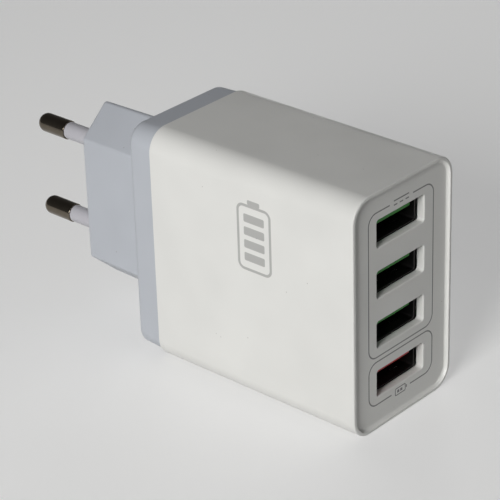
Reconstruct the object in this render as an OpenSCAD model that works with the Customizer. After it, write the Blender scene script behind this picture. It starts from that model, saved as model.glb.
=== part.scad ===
// Four-port USB mains charger with a two-pin plug, standing on its long narrow side.
// X is the width, Y runs from the port face to the pin tips, Z is up.
// All depths below are measured from the front rim; placed() then centres the whole part on Y.

/* [Housing] */
// Width of the front shell
shell_w = 29.2; // [27:0.2:36]
// Height of the front shell as it stands
shell_h = 49.4; // [48.4:0.2:60]
// Depth of the front shell
shell_l = 49.8; // [48:0.2:62]
// Corner radius of the housing section
corner_r = 4.6; // [3.6:0.1:6]
// Wall of the front shell and of the rear cover
wall = 1.8; // [1.5:0.1:2.2]
// Rounding of the front outer edge
rim_round = 0.3; // [0.2:0.05:0.4]
// Width of the rim round the port panel, its slope included
rim_w = 1.4; // [1.4:0.05:1.5]
// Width of the slope down to the port panel
rim_slope = 1; // [0.6:0.1:1]
// Depth of the port panel behind the rim
rim_depth = 0.7; // [0.4:0.1:1]
// Thickness of the port panel
panel_t = 1.7; // [1.2:0.1:2.2]

/* [Rear cover] */
// Length of the collar behind the shell
cover_l = 6; // [5:0.2:9]
// How far the collar stands inside the shell's outline
seam_step = 0.45; // [0.2:0.05:0.8]
// Draft of the collar over its length
collar_draft = 0.2; // [0:0.05:0.4]
// Rounding of the collar's rear edge
collar_round = 1; // [0.4:0.1:1.4]
// Thickness of the plate that closes the collar
plate_t = 2; // [1.6:0.1:2.4]
// Depth of the spigot inside the shell
spigot_l = 4; // [3:0.2:6]
// Wall of the spigot
spigot_t = 1.4; // [1:0.1:1.6]
// Clearance between spigot and shell
spigot_gap = 0.15; // [0.05:0.05:0.3]

/* [Plug] */
// Distance from the collar to the pin face
block_l = 20.3; // [18:0.1:26]
// Width of the plug block at the pin face
block_w = 13.8; // [13:0.1:16]
// Height of its flat side at the pin face
block_flat = 25.6; // [24:0.2:30]
// Height over its two ends at the pin face
block_h = 38; // [36:0.2:42]
// How much the block grows on each side towards the collar
block_draft = 0.4; // [0:0.05:0.8]
// Rounding of the block's edges
block_round = 0.8; // [0.5:0.1:1.2]
// Wall of the block
block_wall = 1.8; // [1.5:0.1:2.2]
// Distance between the two pins
pin_pitch = 19; // [18:0.1:19.6]
// Diameter of a pin's bare end
pin_d = 4; // [3.8:0.1:4.8]
// Reach of a pin from the pin face
pin_out = 19; // [18:0.1:24]
// Length of insulating sleeve outside the block
sleeve_out = 10.9; // [9:0.1:12]
// Outer diameter of the sleeve
sleeve_d = 3.6; // [3.4:0.05:3.65]
// Diameter of the pin inside its sleeve
neck_d = 2.8; // [2.4:0.1:3]

/* [Sockets] */
// Distance between socket centres
port_pitch = 10.4; // [9:0.1:11.2]
// Width of a cut-out in the panel
port_w = 13.9; // [13.4:0.1:15]
// Height of a cut-out in the panel
port_h = 5.6; // [5.3:0.1:6.2]
// Inner width of the metal receptacle shell
socket_w = 12.5; // [12.3:0.1:12.8]
// Inner height of the metal receptacle shell
socket_h = 5.12; // [4.9:0.01:5.4]
// Length of the metal receptacle shell
socket_l = 14.1; // [13:0.1:17]
// Sheet thickness of the receptacle shell
socket_t = 0.3; // [0.2:0.05:0.4]
// Width of the contact tongue
tongue_w = 11.1; // [10:0.1:11.4]
// Thickness of the contact tongue
tongue_t = 1.84; // [1.6:0.02:2]

/* [Boards] */
// Thickness of both circuit boards
board_t = 1.6; // [1:0.1:2]
// Clearance of a board in its rails
board_gap = 0.2; // [0.1:0.05:0.4]
// Distance from the inner wall to the back of the main board
board_off = 2.4; // [2:0.1:3]

/* [Power parts] */
// Diameter of a mains-side capacitor
input_cap_d = 8; // [6:0.1:9]
// Height of a mains-side capacitor
input_cap_h = 16; // [12:0.5:17]
// Diameter of an output capacitor
output_cap_d = 8; // [6:0.1:9]
// Height of an output capacitor
output_cap_h = 12; // [9:0.5:15]
// Width of the transformer core
core_w = 16; // [14:0.5:18]
// Height of the transformer core above the board
core_h = 14; // [12:0.5:16]
// Thickness of the transformer core
core_t = 5.6; // [4:0.2:7]
// Outer legs of the transformer core
core_leg = 2.2; // [1.8:0.1:2.6]
// Middle leg of the transformer core
core_mid = 4.2; // [3.6:0.1:5]

/* [Hidden] */
$fn = 48;

// Stations along Y
collar_end = shell_l + cover_l;
pin_face = collar_end + block_l;
overall_l = pin_face + pin_out;
panel_back = rim_depth + panel_t;

// Middle of the housing section, which the plug and the row of sockets share
mid_z = shell_h / 2;
inner_w = shell_w - 2 * wall;
inner_h = shell_h - 2 * wall;
collar_w = shell_w - 2 * seam_step;
collar_h = shell_h - 2 * seam_step;
collar_r = corner_r - seam_step;

// Snap bead on the spigot and its groove in the shell
bead_h = 0.35;
bead_w = 1.4;
bead_y = shell_l - spigot_l / 2;
bead_x_len = inner_h - 20;
bead_z_len = inner_w - 12;

// Plug block
boss_d = 6.8;
boss_l = 6;
sleeve_seat = 3;
fit_gap = 0.1;
flange_d = 5;
flange_t = 1.2;
tail_d = 2.4;
tail_l = 4;
flange_y = pin_face - boss_l - flange_t;

// Sockets
ports = 4;
socket_y0 = panel_back + 0.1;
socket_y1 = socket_y0 + socket_l;
tongue_y0 = socket_y0 + 0.5;
tongue_drop = 0.97;
base_l = 4.6;
contact_w = 1;
contact_t = 0.3;
contact_x = [-3.5, -1, 1, 3.5];
tail_out = 0.8;

// Boards
usb_y0 = socket_y1;
usb_y1 = usb_y0 + board_t;
main_x0 = -inner_w / 2 + board_off;
main_x1 = main_x0 + board_t;
main_y0 = usb_y1 + board_gap;
spigot_y0 = shell_l - spigot_l;
plate_y0 = collar_end - plate_t;
main_y1 = plate_y0 - 0.8;
rail_t = 1.2;
rail_h = 1.7;

// Contact strips
strip_t = 0.5;
strip_w = 4;
strip_y0 = flange_y - strip_t;
strip_x = -3;
strip_in_y = main_y1 - 0.9;

// Leads and their slots in the boards
lead = 0.6;
lead_slot = 0.9;
lead_out = 0.6;

// Small parts
header_t = 2.4;
header_y = main_y0 + 1;
header_len = 15.8;
leg_w = 2;
socket_leg_x = socket_w / 2 + socket_t / 2;
finger_w = 2;
finger_l = 5;
finger_x = 3.1;
contact_rise = tongue_drop - tongue_t / 2 - contact_t + 0.2;
bobbin_base = 2;
bobbin_side = 4.3;
fuse_half = 4.6;
fuse_d = 3.2;
fuse_l = 6.8;
choke_d = 7;
choke_h = 8;
choke_pitch = 2.2;
safety_pitch = 2.5;
safety_d = 7.4;
sink_t = 1.2;
sink_w = 10.4;
sink_h = 15;
fin_l = 2.4;
bridge_w = 6;
opto_w = 4.6;
part_gap = 0.6;
rectifier_w = 9;
rectifier_t = 4;

// Places on the main board, as depth and height of each part's middle
core_y = header_y + header_t + part_gap + core_t / 2 + bobbin_side;
core_z = mid_z;
input_cap_y = strip_in_y - 0.5 - input_cap_d / 2;
input_cap_z = [mid_z - input_cap_d / 2 - 0.4, mid_z + input_cap_d / 2 + 0.4];
output_cap_y = [main_y0 + part_gap + output_cap_d / 2, main_y0 + 2 * part_gap + 1.5 * output_cap_d];
output_cap_z = core_z - core_w / 2 - part_gap - output_cap_d / 2;
lane_y = (core_y + core_t / 2 + bobbin_side + input_cap_y - input_cap_d / 2) / 2;
bridge_place = [input_cap_y, input_cap_z[1] + input_cap_d / 2 + part_gap + bridge_w / 2];
choke_place = [input_cap_y, input_cap_z[0] - input_cap_d / 2 - part_gap - choke_d / 2];
opto_place = [(output_cap_y[1] + output_cap_d / 2 + choke_place[0] - choke_d / 2) / 2, output_cap_z];
chip_place = [lane_y, mid_z + 1.5];
fuse_place = [lane_y, mid_z + 14];
safety_place = [lane_y - fuse_d / 2 - part_gap - safety_d / 2, core_z + core_w / 2 + 1.6 + part_gap];
sink_place = [main_y0 + part_gap + fin_l, core_z + core_w / 2 + part_gap + sink_w / 2 + 1];
rectifier_leg_y = sink_place[0] + sink_t + rectifier_t * 0.6;

// Body that turns and moves a drawing made with depths from the front rim
module placed() {
    translate([0, -overall_l / 2, 0])
        children();
}

// Rounded rectangle with true arcs
module rounded_rect(w, h, r) {
    square([w - 2 * r, h], center = true);
    square([w, h - 2 * r], center = true);
    for (sx = [-1, 1], sy = [-1, 1])
        translate([sx * (w / 2 - r), sy * (h / 2 - r)])
            circle(r = r);
}

// Flat drawing of width and height, extruded along Y from y0 to y1 about the middle of the section
module along_y(y0, y1) {
    translate([0, y1, mid_z])
        rotate([90, 0, 0])
            linear_extrude(y1 - y0)
                children();
}

// Profile of distance out from a corner's centre against depth, carried round a rounded rectangle
module carried_round(w, h, r) {
    for (k = [0:3])
        translate([(k == 0 || k == 3 ? 1 : -1) * (w / 2 - r), 0, mid_z + (k < 2 ? -1 : 1) * (h / 2 - r)])
            rotate([-90, 0, 0])
                rotate([0, 0, 90 * k])
                    rotate_extrude(angle = 90)
                        children();
    for (s = [0, 1]) {
        translate([0, 0, mid_z])
            mirror([s, 0, 0])
                translate([w / 2 - r, 0, r - h / 2])
                    linear_extrude(h - 2 * r)
                        children();
        translate([0, 0, mid_z])
            mirror([0, 0, s])
                translate([w / 2 - r, 0, h / 2 - r])
                    rotate([0, -90, 0])
                        linear_extrude(w - 2 * r)
                            children();
    }
}

// Points of a quarter arc from angle a0 to a1 about a centre
function arc(c, r, a0, a1, n = 6) =
    [for (i = [0:n]) c + r * [cos(a0 + (a1 - a0) * i / n), sin(a0 + (a1 - a0) * i / n)]];

// Height of socket number k above the base, counted from the top
function port_z(k) = mid_z + ((ports - 1) / 2 - k) * port_pitch;

// Section of the shell's wall, from its open rear edge to the front rim
module shell_wall_profile() {
    polygon(concat(
        [[corner_r - wall, shell_l], [corner_r, shell_l]],
        arc([corner_r - rim_round, rim_round], rim_round, 0, -90),
        [[corner_r - rim_w + rim_slope, 0], [corner_r - rim_w, rim_depth], [corner_r - wall, rim_depth]]
    ));
}

// Bead along the four straight walls, as a ridge or as the groove that takes it
module snap_beads(w, h, gap) {
    ridge = [[-0.5, -bead_w / 2 - gap], [bead_h + gap, -bead_w / 4 - gap],
             [bead_h + gap, bead_w / 4 + gap], [-0.5, bead_w / 2 + gap]];
    for (s = [0, 1]) {
        translate([0, bead_y, mid_z - bead_x_len / 2 - gap])
            mirror([s, 0, 0])
                translate([w / 2, 0, 0])
                    linear_extrude(bead_x_len + 2 * gap)
                        polygon(ridge);
        translate([0, bead_y, mid_z])
            mirror([0, 0, s])
                translate([bead_z_len / 2 + gap, 0, h / 2])
                    rotate([0, -90, 0])
                        linear_extrude(bead_z_len + 2 * gap)
                            polygon(ridge);
    }
}

// Rails in the floor and roof of the shell that the main board slides into
module board_rails() {
    for (s = [0, 1], x = [main_x0 - board_gap - rail_t, main_x1 + board_gap])
        translate([0, 0, mid_z])
            mirror([0, 0, s])
                translate([x, usb_y1, -inner_h / 2 - 0.5])
                    cube([rail_t, spigot_y0 - 0.5 - usb_y1, rail_h + 0.5]);
}

// Ribs along the side walls that stop the socket board
module board_stops() {
    for (s = [0, 1], k = [0:ports - 2])
        mirror([s, 0, 0])
            translate([inner_w / 2 - 2.2, panel_back - 0.5, port_z(k) - port_pitch / 2 - 0.6])
                cube([2.7, usb_y0 - panel_back + 0.5, 1.2]);
}

module front_shell() {
    color("whitesmoke")
        placed()
            difference() {
                union() {
                    carried_round(shell_w, shell_h, corner_r)
                        shell_wall_profile();
                    along_y(rim_depth, panel_back)
                        rounded_rect(inner_w + 0.4, inner_h + 0.4, corner_r - wall + 0.2);
                    board_rails();
                    board_stops();
                }
                for (k = [0:ports - 1])
                    translate([0, 0, port_z(k) - mid_z])
                        along_y(-1, panel_back + 1)
                            rounded_rect(port_w, port_h, 0.6);
                snap_beads(inner_w - 2 * spigot_gap, inner_h - 2 * spigot_gap, spigot_gap);
            }
}

// Section of the collar's wall, with its draft and its rounded rear edge
module collar_profile() {
    out = collar_r - collar_draft;
    polygon(concat(
        [[collar_r - wall, shell_l], [collar_r, shell_l]],
        arc([out - collar_round, collar_end - collar_round], collar_round, 0, 90),
        [[0.6, collar_end], [0.6, plate_y0], [collar_r - wall, plate_y0]]
    ));
}

// Six-sided outline of the plug block with rounded corners, shrunk by an inset
module block_outline(grow) {
    half_w = block_w / 2 + grow - block_round;
    half_flat = block_flat / 2;
    half_h = block_h / 2 + grow - block_round;
    hull()
        for (sx = [-1, 1], sy = [-1, 1]) {
            translate([sx * half_w, sy * half_flat])
                circle(r = block_round, $fn = 32);
            translate([0, sy * half_h])
                circle(r = block_round, $fn = 32);
        }
}

// Thin slice of the block's outline that ends at depth y
module block_slice(y, grow) {
    along_y(y - 0.1, y)
        block_outline(grow);
}

// Solid of the plug block: it narrows to the pin face, whose edge is eased
module block_solid() {
    hull() {
        block_slice(collar_end, block_draft);
        block_slice(pin_face - 0.6, 0);
        block_slice(pin_face, -0.5);
    }
}

// Inside of the plug block, open to the collar
module block_hollow() {
    hull() {
        block_slice(plate_y0, block_draft - block_wall);
        block_slice(pin_face - block_wall, -block_wall);
    }
}

// Cylinder along Y between two depths at one of the pins
module pin_rod(d, y0, y1) {
    translate([0, y1, 0])
        rotate([90, 0, 0])
            cylinder(d = d, h = y1 - y0);
}

// Height of the upper (1) or lower (-1) pin
function pin_z(side) = mid_z + side * pin_pitch / 2;

module rear_cover() {
    color("lavender")
        placed()
            difference() {
                union() {
                    carried_round(collar_w, collar_h, collar_r)
                        collar_profile();
                    along_y(plate_y0, collar_end)
                        square([collar_w - 2 * collar_r + 1.4, collar_h - 2 * collar_r + 1.4], center = true);
                    difference() {
                        along_y(spigot_y0, shell_l + 1)
                            rounded_rect(inner_w - 2 * spigot_gap, inner_h - 2 * spigot_gap,
                                         corner_r - wall - spigot_gap);
                        along_y(spigot_y0 - 1, shell_l + 2)
                            rounded_rect(inner_w - 2 * spigot_gap - 2 * spigot_t,
                                         inner_h - 2 * spigot_gap - 2 * spigot_t,
                                         corner_r - wall - spigot_gap - spigot_t + 0.6);
                    }
                    snap_beads(inner_w - 2 * spigot_gap, inner_h - 2 * spigot_gap, 0);
                    block_solid();
                }
                difference() {
                    block_hollow();
                    for (side = [-1, 1])
                        translate([0, 0, pin_z(side)])
                            pin_rod(boss_d, pin_face - boss_l, pin_face);
                }
                for (side = [-1, 1])
                    translate([0, 0, pin_z(side)]) {
                        pin_rod(neck_d + 2 * fit_gap, plate_y0 - 1, pin_face + 1);
                        pin_rod(sleeve_d + 2 * fit_gap, pin_face - sleeve_seat, pin_face + 1);
                    }
            }
}

// Turned pin: domed bare end, neck under the sleeve, flange behind the boss and a tail for its contact
module plug_pin(side) {
    r = pin_d / 2;
    dome = 0.9 * r;
    color("silver")
        placed()
            translate([0, 0, pin_z(side)])
                rotate([-90, 0, 0])
                    rotate_extrude()
                        polygon(concat(
                            [[0, flange_y - tail_l], [tail_d / 2, flange_y - tail_l], [tail_d / 2, flange_y],
                             [flange_d / 2, flange_y], [flange_d / 2, flange_y + flange_t],
                             [neck_d / 2, flange_y + flange_t], [neck_d / 2, pin_face + sleeve_out],
                             [r, pin_face + sleeve_out]],
                            arc([r - dome, overall_l - dome], dome, 0, 90),
                            [[0, overall_l]]
                        ));
}

module plug_sleeve(side) {
    color("white")
        placed()
            translate([0, 0, pin_z(side)])
                difference() {
                    pin_rod(sleeve_d, pin_face - sleeve_seat, pin_face + sleeve_out);
                    pin_rod(neck_d + 2 * fit_gap, pin_face - sleeve_seat - 1, pin_face + sleeve_out + 1);
                }
}

// Bent strip from the back of a pin's flange to its slot in the main board
module contact_strip(side) {
    end_x = main_x0 - lead_out;
    color("goldenrod")
        placed()
            translate([0, 0, pin_z(side)])
                difference() {
                    translate([0, 0, -strip_w / 2])
                        linear_extrude(strip_w)
                            polygon([
                                [-strip_x, flange_y], [-strip_x, strip_y0], [strip_x + strip_t, strip_y0],
                                [strip_x + strip_t, strip_in_y], [end_x, strip_in_y],
                                [end_x, strip_in_y + strip_t], [strip_x, strip_in_y + strip_t],
                                [strip_x, flange_y]
                            ]);
                    pin_rod(tail_d + 2 * fit_gap, strip_y0 - 1, flange_y + 1);
                }
}

// Square lead through the main board, standing at a depth and height, up to a height above it
module board_lead(y, z, up) {
    translate([main_x0 - lead_out, y - lead / 2, z - lead / 2])
        cube([board_t + lead_out + up, lead, lead]);
}

// Slot for such a lead
module board_slot(y, z, ly = lead_slot, lz = lead_slot) {
    translate([main_x0 - 1, y - ly / 2, z - lz / 2])
        cube([board_t + 2, ly, lz]);
}

// Leads of a capacitor lie this far to each side of its middle
function cap_pitch(d) = 0.22 * d;

// Places of the bobbin's leads, from the middle of the transformer
function bobbin_leads() = [for (s = [-1, 1], k = [-1, 0, 1]) [s * (core_t / 2 + 2.8), k * core_w * 0.25]];

module main_board() {
    low = wall + board_gap;
    step_z = wall + spigot_gap + spigot_t + 0.8;
    color("darkgreen")
        placed()
            difference() {
                translate([main_x0, 0, 0])
                    rotate([90, 0, 90])
                        linear_extrude(board_t)
                            polygon([
                                [main_y0, low], [spigot_y0 - 0.4, low], [spigot_y0 - 0.4, step_z],
                                [main_y1, step_z], [main_y1, shell_h - step_z],
                                [spigot_y0 - 0.4, shell_h - step_z], [spigot_y0 - 0.4, shell_h - low],
                                [main_y0, shell_h - low]
                            ]);
                for (side = [-1, 1])
                    board_slot(strip_in_y + strip_t / 2, pin_z(side), strip_t + 0.3, strip_w + 0.4);
                for (z = input_cap_z, s = [-1, 1])
                    board_slot(input_cap_y, z + s * cap_pitch(input_cap_d));
                for (y = output_cap_y, s = [-1, 1])
                    board_slot(y, output_cap_z + s * cap_pitch(output_cap_d));
                for (p = bobbin_leads())
                    board_slot(core_y + p[0], core_z + p[1]);
                for (s = [-1, 1]) {
                    board_slot(fuse_place[0], fuse_place[1] + s * fuse_half);
                    board_slot(choke_place[0], choke_place[1] + s * choke_pitch);
                    board_slot(safety_place[0] + s * safety_pitch, safety_place[1]);
                    board_slot(bridge_place[0] + s * 1.9, bridge_place[1] - 2.2);
                    board_slot(bridge_place[0] + s * 1.9, bridge_place[1] + 2.2);
                    board_slot(opto_place[0] + s * 1.27, opto_place[1] - 3.5);
                    board_slot(opto_place[0] + s * 1.27, opto_place[1] + 3.5);
                }
                for (k = [-1, 0, 1])
                    board_slot(rectifier_leg_y, sink_place[1] + k * 2.5);
                for (k = [0:5])
                    board_slot(header_y + header_t / 2, header_z(k));
            }
}

// Height of each pin of the header between the boards
function header_z(k) = mid_z + (k - 2.5) * 2.54;

module board_header() {
    color("dimgray")
        placed()
            union() {
                translate([main_x1, header_y, mid_z - header_len / 2])
                    cube([header_t, header_t, header_len]);
                for (k = [0:5]) {
                    board_lead(header_y + header_t / 2, header_z(k), 1);
                    translate([main_x1 + header_t / 2 - lead / 2, usb_y0 - lead_out, header_z(k) - lead / 2])
                        cube([lead, header_y - usb_y0 + lead_out + 1, lead]);
                }
            }
}

module insulation_sheet() {
    color("lightyellow")
        placed()
            translate([-inner_w / 2, usb_y1 + 0.5, wall + 3.2])
                cube([0.3, spigot_y0 - usb_y1 - 1.5, inner_h - 6.4]);
}

module usb_board() {
    color("darkgreen")
        placed()
            difference() {
                along_y(usb_y0, usb_y1)
                    rounded_rect(inner_w - 2 * board_gap, inner_h - 2 * board_gap, corner_r - wall);
                along_y(usb_y0 - 1, usb_y1 + 1) {
                    for (k = [0:ports - 1]) {
                        for (x = contact_x)
                            translate([x, port_z(k) - mid_z + contact_rise + contact_t / 2])
                                square([contact_w + 0.3, contact_t + 0.5], center = true);
                        for (s = [-1, 1])
                            translate([s * socket_leg_x, port_z(k) - mid_z])
                                square([socket_t + 0.4, leg_w + 0.4], center = true);
                    }
                    for (k = [0:5])
                        translate([main_x1 + header_t / 2, header_z(k) - mid_z])
                            square(lead_slot, center = true);
                }
            }
}

// Stamped receptacle shell with sprung fingers in roof and floor, and two legs through the board
module socket_shell(k) {
    outer_w = socket_w + 2 * socket_t;
    outer_h = socket_h + 2 * socket_t;
    color("silver")
        placed()
            translate([0, 0, port_z(k) - mid_z])
                union() {
                    difference() {
                        along_y(socket_y0, socket_y1)
                            rounded_rect(outer_w, outer_h, 0.8);
                        along_y(socket_y0 - 1, socket_y1 + 1)
                            rounded_rect(socket_w, socket_h, 0.5);
                        for (s = [-1, 1])
                            translate([s * finger_x, socket_y0 + 2.2, mid_z])
                                finger_slot(outer_h + 2);
                    }
                    for (s = [-1, 1])
                        translate([s * socket_leg_x - socket_t / 2, socket_y1 - 0.5, mid_z - leg_w / 2])
                            cube([socket_t, board_t + 0.5 + tail_out, leg_w]);
                }
}

// U-shaped cut round a sprung finger, which stays joined at its rear end
module finger_slot(h) {
    difference() {
        translate([-finger_w / 2 - 0.3, 0, -h / 2])
            cube([finger_w + 0.6, finger_l, h]);
        translate([-finger_w / 2, 0.3, -h])
            cube([finger_w, finger_l, 2 * h]);
    }
}

// Moulded tongue on its base block, with a groove for each contact
module socket_tongue(k) {
    color(k == ports - 1 ? "orangered" : "limegreen")
        placed()
            translate([0, 0, port_z(k) - mid_z])
                difference() {
                    union() {
                        along_y(socket_y1 - base_l, socket_y1)
                            rounded_rect(socket_w - 0.2, socket_h - 0.2, 0.5);
                        translate([-tongue_w / 2, 0, mid_z + tongue_drop])
                            rotate([90, 0, 90])
                                linear_extrude(tongue_w)
                                    tongue_profile();
                    }
                    for (x = contact_x)
                        translate([x - contact_w / 2 - 0.05, tongue_y0 + 1, mid_z + contact_rise - 0.05])
                            cube([contact_w + 0.1, socket_l, contact_t + 0.1]);
                }
}

// Side view of the tongue: a plate whose tip is chamfered above and below
module tongue_profile() {
    half_t = tongue_t / 2;
    polygon([
        [tongue_y0, -half_t + 0.35], [tongue_y0 + 0.8, -half_t], [socket_y1 - base_l + 0.5, -half_t],
        [socket_y1 - base_l + 0.5, half_t], [tongue_y0 + 0.8, half_t], [tongue_y0, half_t - 0.35]
    ]);
}

module socket_contacts(k) {
    color("gold")
        placed()
            for (x = contact_x)
                translate([x - contact_w / 2, tongue_y0 + 1.2, port_z(k) + contact_rise])
                    cube([contact_w, usb_y1 + tail_out - tongue_y0 - 1.2, contact_t]);
}

// Two ferrite halves that meet at the middle of their legs
module core_half() {
    half_h = core_h / 2;
    difference() {
        translate([0, -core_w / 2, -core_t / 2])
            cube([half_h, core_w, core_t]);
        for (s = [0, 1])
            mirror([0, s, 0])
                translate([-1, core_mid / 2, -core_t])
                    cube([half_h - core_leg + 1, core_w / 2 - core_leg - core_mid / 2, 2 * core_t]);
    }
}

// Middle of the transformer: X stands off the board, Y is the core's width and Z its thickness
module at_transformer() {
    placed()
        translate([main_x1 + bobbin_base + core_h / 2, core_y, core_z])
            rotate([90, 0, 0])
                children();
}

module transformer_core() {
    color("#3a3a3c")
        at_transformer()
            union() {
                core_half();
                mirror([1, 0, 0])
                    core_half();
            }
}

// Spool on the middle leg, with two feet that carry the leads
module transformer_bobbin() {
    inner_x = core_h - 2 * core_leg - 0.4;
    window = core_w - 2 * core_leg - 0.4;
    foot_x = bobbin_base + core_h / 2;
    color("black")
        at_transformer()
            union() {
                difference() {
                    union() {
                        for (s = [0, 1])
                            mirror([s, 0, 0])
                                translate([inner_x / 2 - 0.9, -window / 2, -core_t / 2 - 3.4])
                                    cube([0.9, window, core_t + 6.8]);
                        cube([inner_x, core_mid + 1.8, core_t + 1.8], center = true);
                    }
                    cube([2 * core_h, core_mid + 0.4, core_t + 0.4], center = true);
                }
                for (s = [0, 1])
                    mirror([0, 0, s])
                        translate([-foot_x, -core_w / 2 + 1, core_t / 2 + 0.3])
                            cube([foot_x - inner_x / 2 + 0.9, core_w - 2, bobbin_side - 0.3]);
                for (p = bobbin_leads())
                    translate([-foot_x - board_t - lead_out, p[1] - lead / 2, p[0] - lead / 2])
                        cube([board_t + lead_out + 1, lead, lead]);
            }
}

module transformer_winding() {
    coil_x = core_h - 2 * core_leg - 0.4 - 2 * 0.9 - 0.2;
    window = core_w - 2 * core_leg - 0.8;
    color("gold")
        at_transformer()
            rotate([90, 0, 90])
                linear_extrude(coil_x, center = true)
                    difference() {
                        rounded_rect(window, core_t + 6, 2.2);
                        square([core_mid + 1.9, core_t + 1.9], center = true);
                    }
}

// Sealed can standing on the main board: sleeve with a crimp groove and a scored top
module capacitor_can(y, z, d, h, tint) {
    r = d / 2;
    color(tint)
        placed()
            union() {
                translate([main_x1, y, z])
                    rotate([0, 90, 0])
                        rotate_extrude()
                            polygon([
                                [0, 0], [r, 0], [r, 1.2], [r - 0.5, 1.7], [r, 2.2],
                                [r, h - 0.5], [r - 0.5, h], [r - 1.2, h], [r - 1.5, h - 0.3], [0, h - 0.3]
                            ]);
                for (s = [-1, 1])
                    board_lead(y, z + s * cap_pitch(d), 0.5);
            }
}

// Bridge in a flat moulded body on four legs
module bridge_rectifier() {
    color("#2b2b2d")
        placed()
            union() {
                translate([main_x1 + 0.3, bridge_place[0] - bridge_w / 2, bridge_place[1] - bridge_w / 2])
                    cube([2.6, bridge_w, bridge_w]);
                for (sy = [-1, 1], sz = [-1, 1])
                    board_lead(bridge_place[0] + sy * 1.9, bridge_place[1] + sz * 2.2, 1);
            }
}

// Fusible resistor lying on the board
module fuse_resistor() {
    r = fuse_d / 2;
    end = fuse_l / 2;
    x = main_x1 + 0.2 + r;
    color("seagreen")
        placed()
            union() {
                translate([x, fuse_place[0], fuse_place[1]])
                    rotate_extrude()
                        polygon([
                            [0, -end], [r - 0.4, -end], [r, 0.5 - end],
                            [r, end - 0.5], [r - 0.4, end], [0, end]
                        ]);
                translate([x - lead / 2, fuse_place[0] - lead / 2, fuse_place[1] - fuse_half - lead / 2])
                    cube([lead, lead, 2 * fuse_half + lead]);
                for (s = [-1, 1])
                    board_lead(fuse_place[0], fuse_place[1] + s * fuse_half, 0.2 + r + lead / 2);
            }
}

// Ferrite drum with its winding
module choke_core() {
    r = choke_d / 2;
    rim = choke_h - 1.4;
    color("#3a3a3c")
        placed()
            union() {
                translate([main_x1, choke_place[0], choke_place[1]])
                    rotate([0, 90, 0])
                        rotate_extrude()
                            polygon([
                                [0, 0], [r, 0], [r, 1.4], [1.6, 1.4],
                                [1.6, rim], [r, rim], [r, choke_h], [0, choke_h]
                            ]);
                for (s = [-1, 1])
                    board_lead(choke_place[0], choke_place[1] + s * choke_pitch, 0.5);
            }
}

module choke_winding() {
    color("peru")
        placed()
            translate([main_x1 + 1.5, choke_place[0], choke_place[1]])
                rotate([0, 90, 0])
                    difference() {
                        cylinder(r = choke_d / 2 - 0.3, h = choke_h - 3);
                        translate([0, 0, -1])
                            cylinder(r = 1.7, h = choke_h);
                    }
}

// Disc capacitor standing on edge
module safety_capacitor() {
    r = safety_d / 2;
    x = main_x1 + 0.5 + r;
    color("royalblue")
        placed()
            union() {
                translate([x, safety_place[0], safety_place[1]])
                    rotate_extrude()
                        polygon([
                            [0, -1.6], [r - 1.2, -1.6], [r - 0.4, -1.2], [r, -0.5],
                            [r, 0.5], [r - 0.4, 1.2], [r - 1.2, 1.6], [0, 1.6]
                        ]);
                for (s = [-1, 1])
                    board_lead(safety_place[0] + s * safety_pitch, safety_place[1], 0.5 + r);
            }
}

// Small eight-legged package lying on a plane, legs to both sides along its first axis
module small_chip() {
    translate([-1.95, -2.45, 0.15])
        cube([3.9, 4.9, 1.5]);
    for (s = [0, 1], k = [0:3])
        mirror([s, 0, 0])
            translate([1.5, (k - 1.5) * 1.27 - 0.2, 0])
                rotate([90, 0, 0])
                    translate([0, 0, -0.4])
                        linear_extrude(0.4)
                            polygon([
                                [0, 0.7], [0.9, 0.7], [1.1, 0], [1.5, 0],
                                [1.5, 0.2], [1.25, 0.2], [1.05, 0.9], [0, 0.9]
                            ]);
}

// Controller soldered to the copper side of the main board
module control_chip() {
    color("#2b2b2d")
        placed()
            translate([main_x0, chip_place[0], chip_place[1]])
                rotate([0, -90, 0])
                    small_chip();
}

module port_chips() {
    color("#2b2b2d")
        placed()
            for (s = [-1, 1])
                translate([inner_w / 2 - 3.2, usb_y1, mid_z + s * port_pitch])
                    rotate([-90, 0, 0])
                        rotate([0, 0, 90])
                            small_chip();
}

// Isolating package with two legs on each side
module optocoupler() {
    color("ghostwhite")
        placed()
            union() {
                translate([main_x1 + 0.4, opto_place[0] - opto_w / 2, opto_place[1] - 3.1])
                    cube([3.4, opto_w, 6.2]);
                for (sy = [-1, 1], sz = [-1, 1])
                    translate([0, opto_place[0] + sy * 1.27, opto_place[1]]) {
                        board_lead(0, sz * 3.5, 2);
                        translate([main_x1 + 1.7, -lead / 2, sz * 3.4 - 0.4])
                            cube([0.3, lead, 0.8]);
                    }
            }
}

// Finned plate that the output rectifier lies against
module heat_sink() {
    color("lightgray")
        placed()
            translate([main_x1, sink_place[0], sink_place[1]])
                union() {
                    translate([0, 0, -sink_w / 2])
                        cube([sink_h, sink_t, sink_w]);
                    for (k = [-2:2])
                        translate([0, -fin_l, k * (sink_w - 1) / 4 - 0.5])
                            cube([sink_h, fin_l + 0.2, 1]);
                }
}

module output_rectifier() {
    color("#2b2b2d")
        placed()
            union() {
                translate([main_x1 + 3.4, sink_place[0] + sink_t, sink_place[1] - rectifier_w / 2])
                    cube([10, rectifier_t, rectifier_w]);
                for (k = [-1, 0, 1])
                    board_lead(rectifier_leg_y, sink_place[1] + k * 2.5, 4);
            }
}

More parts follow.
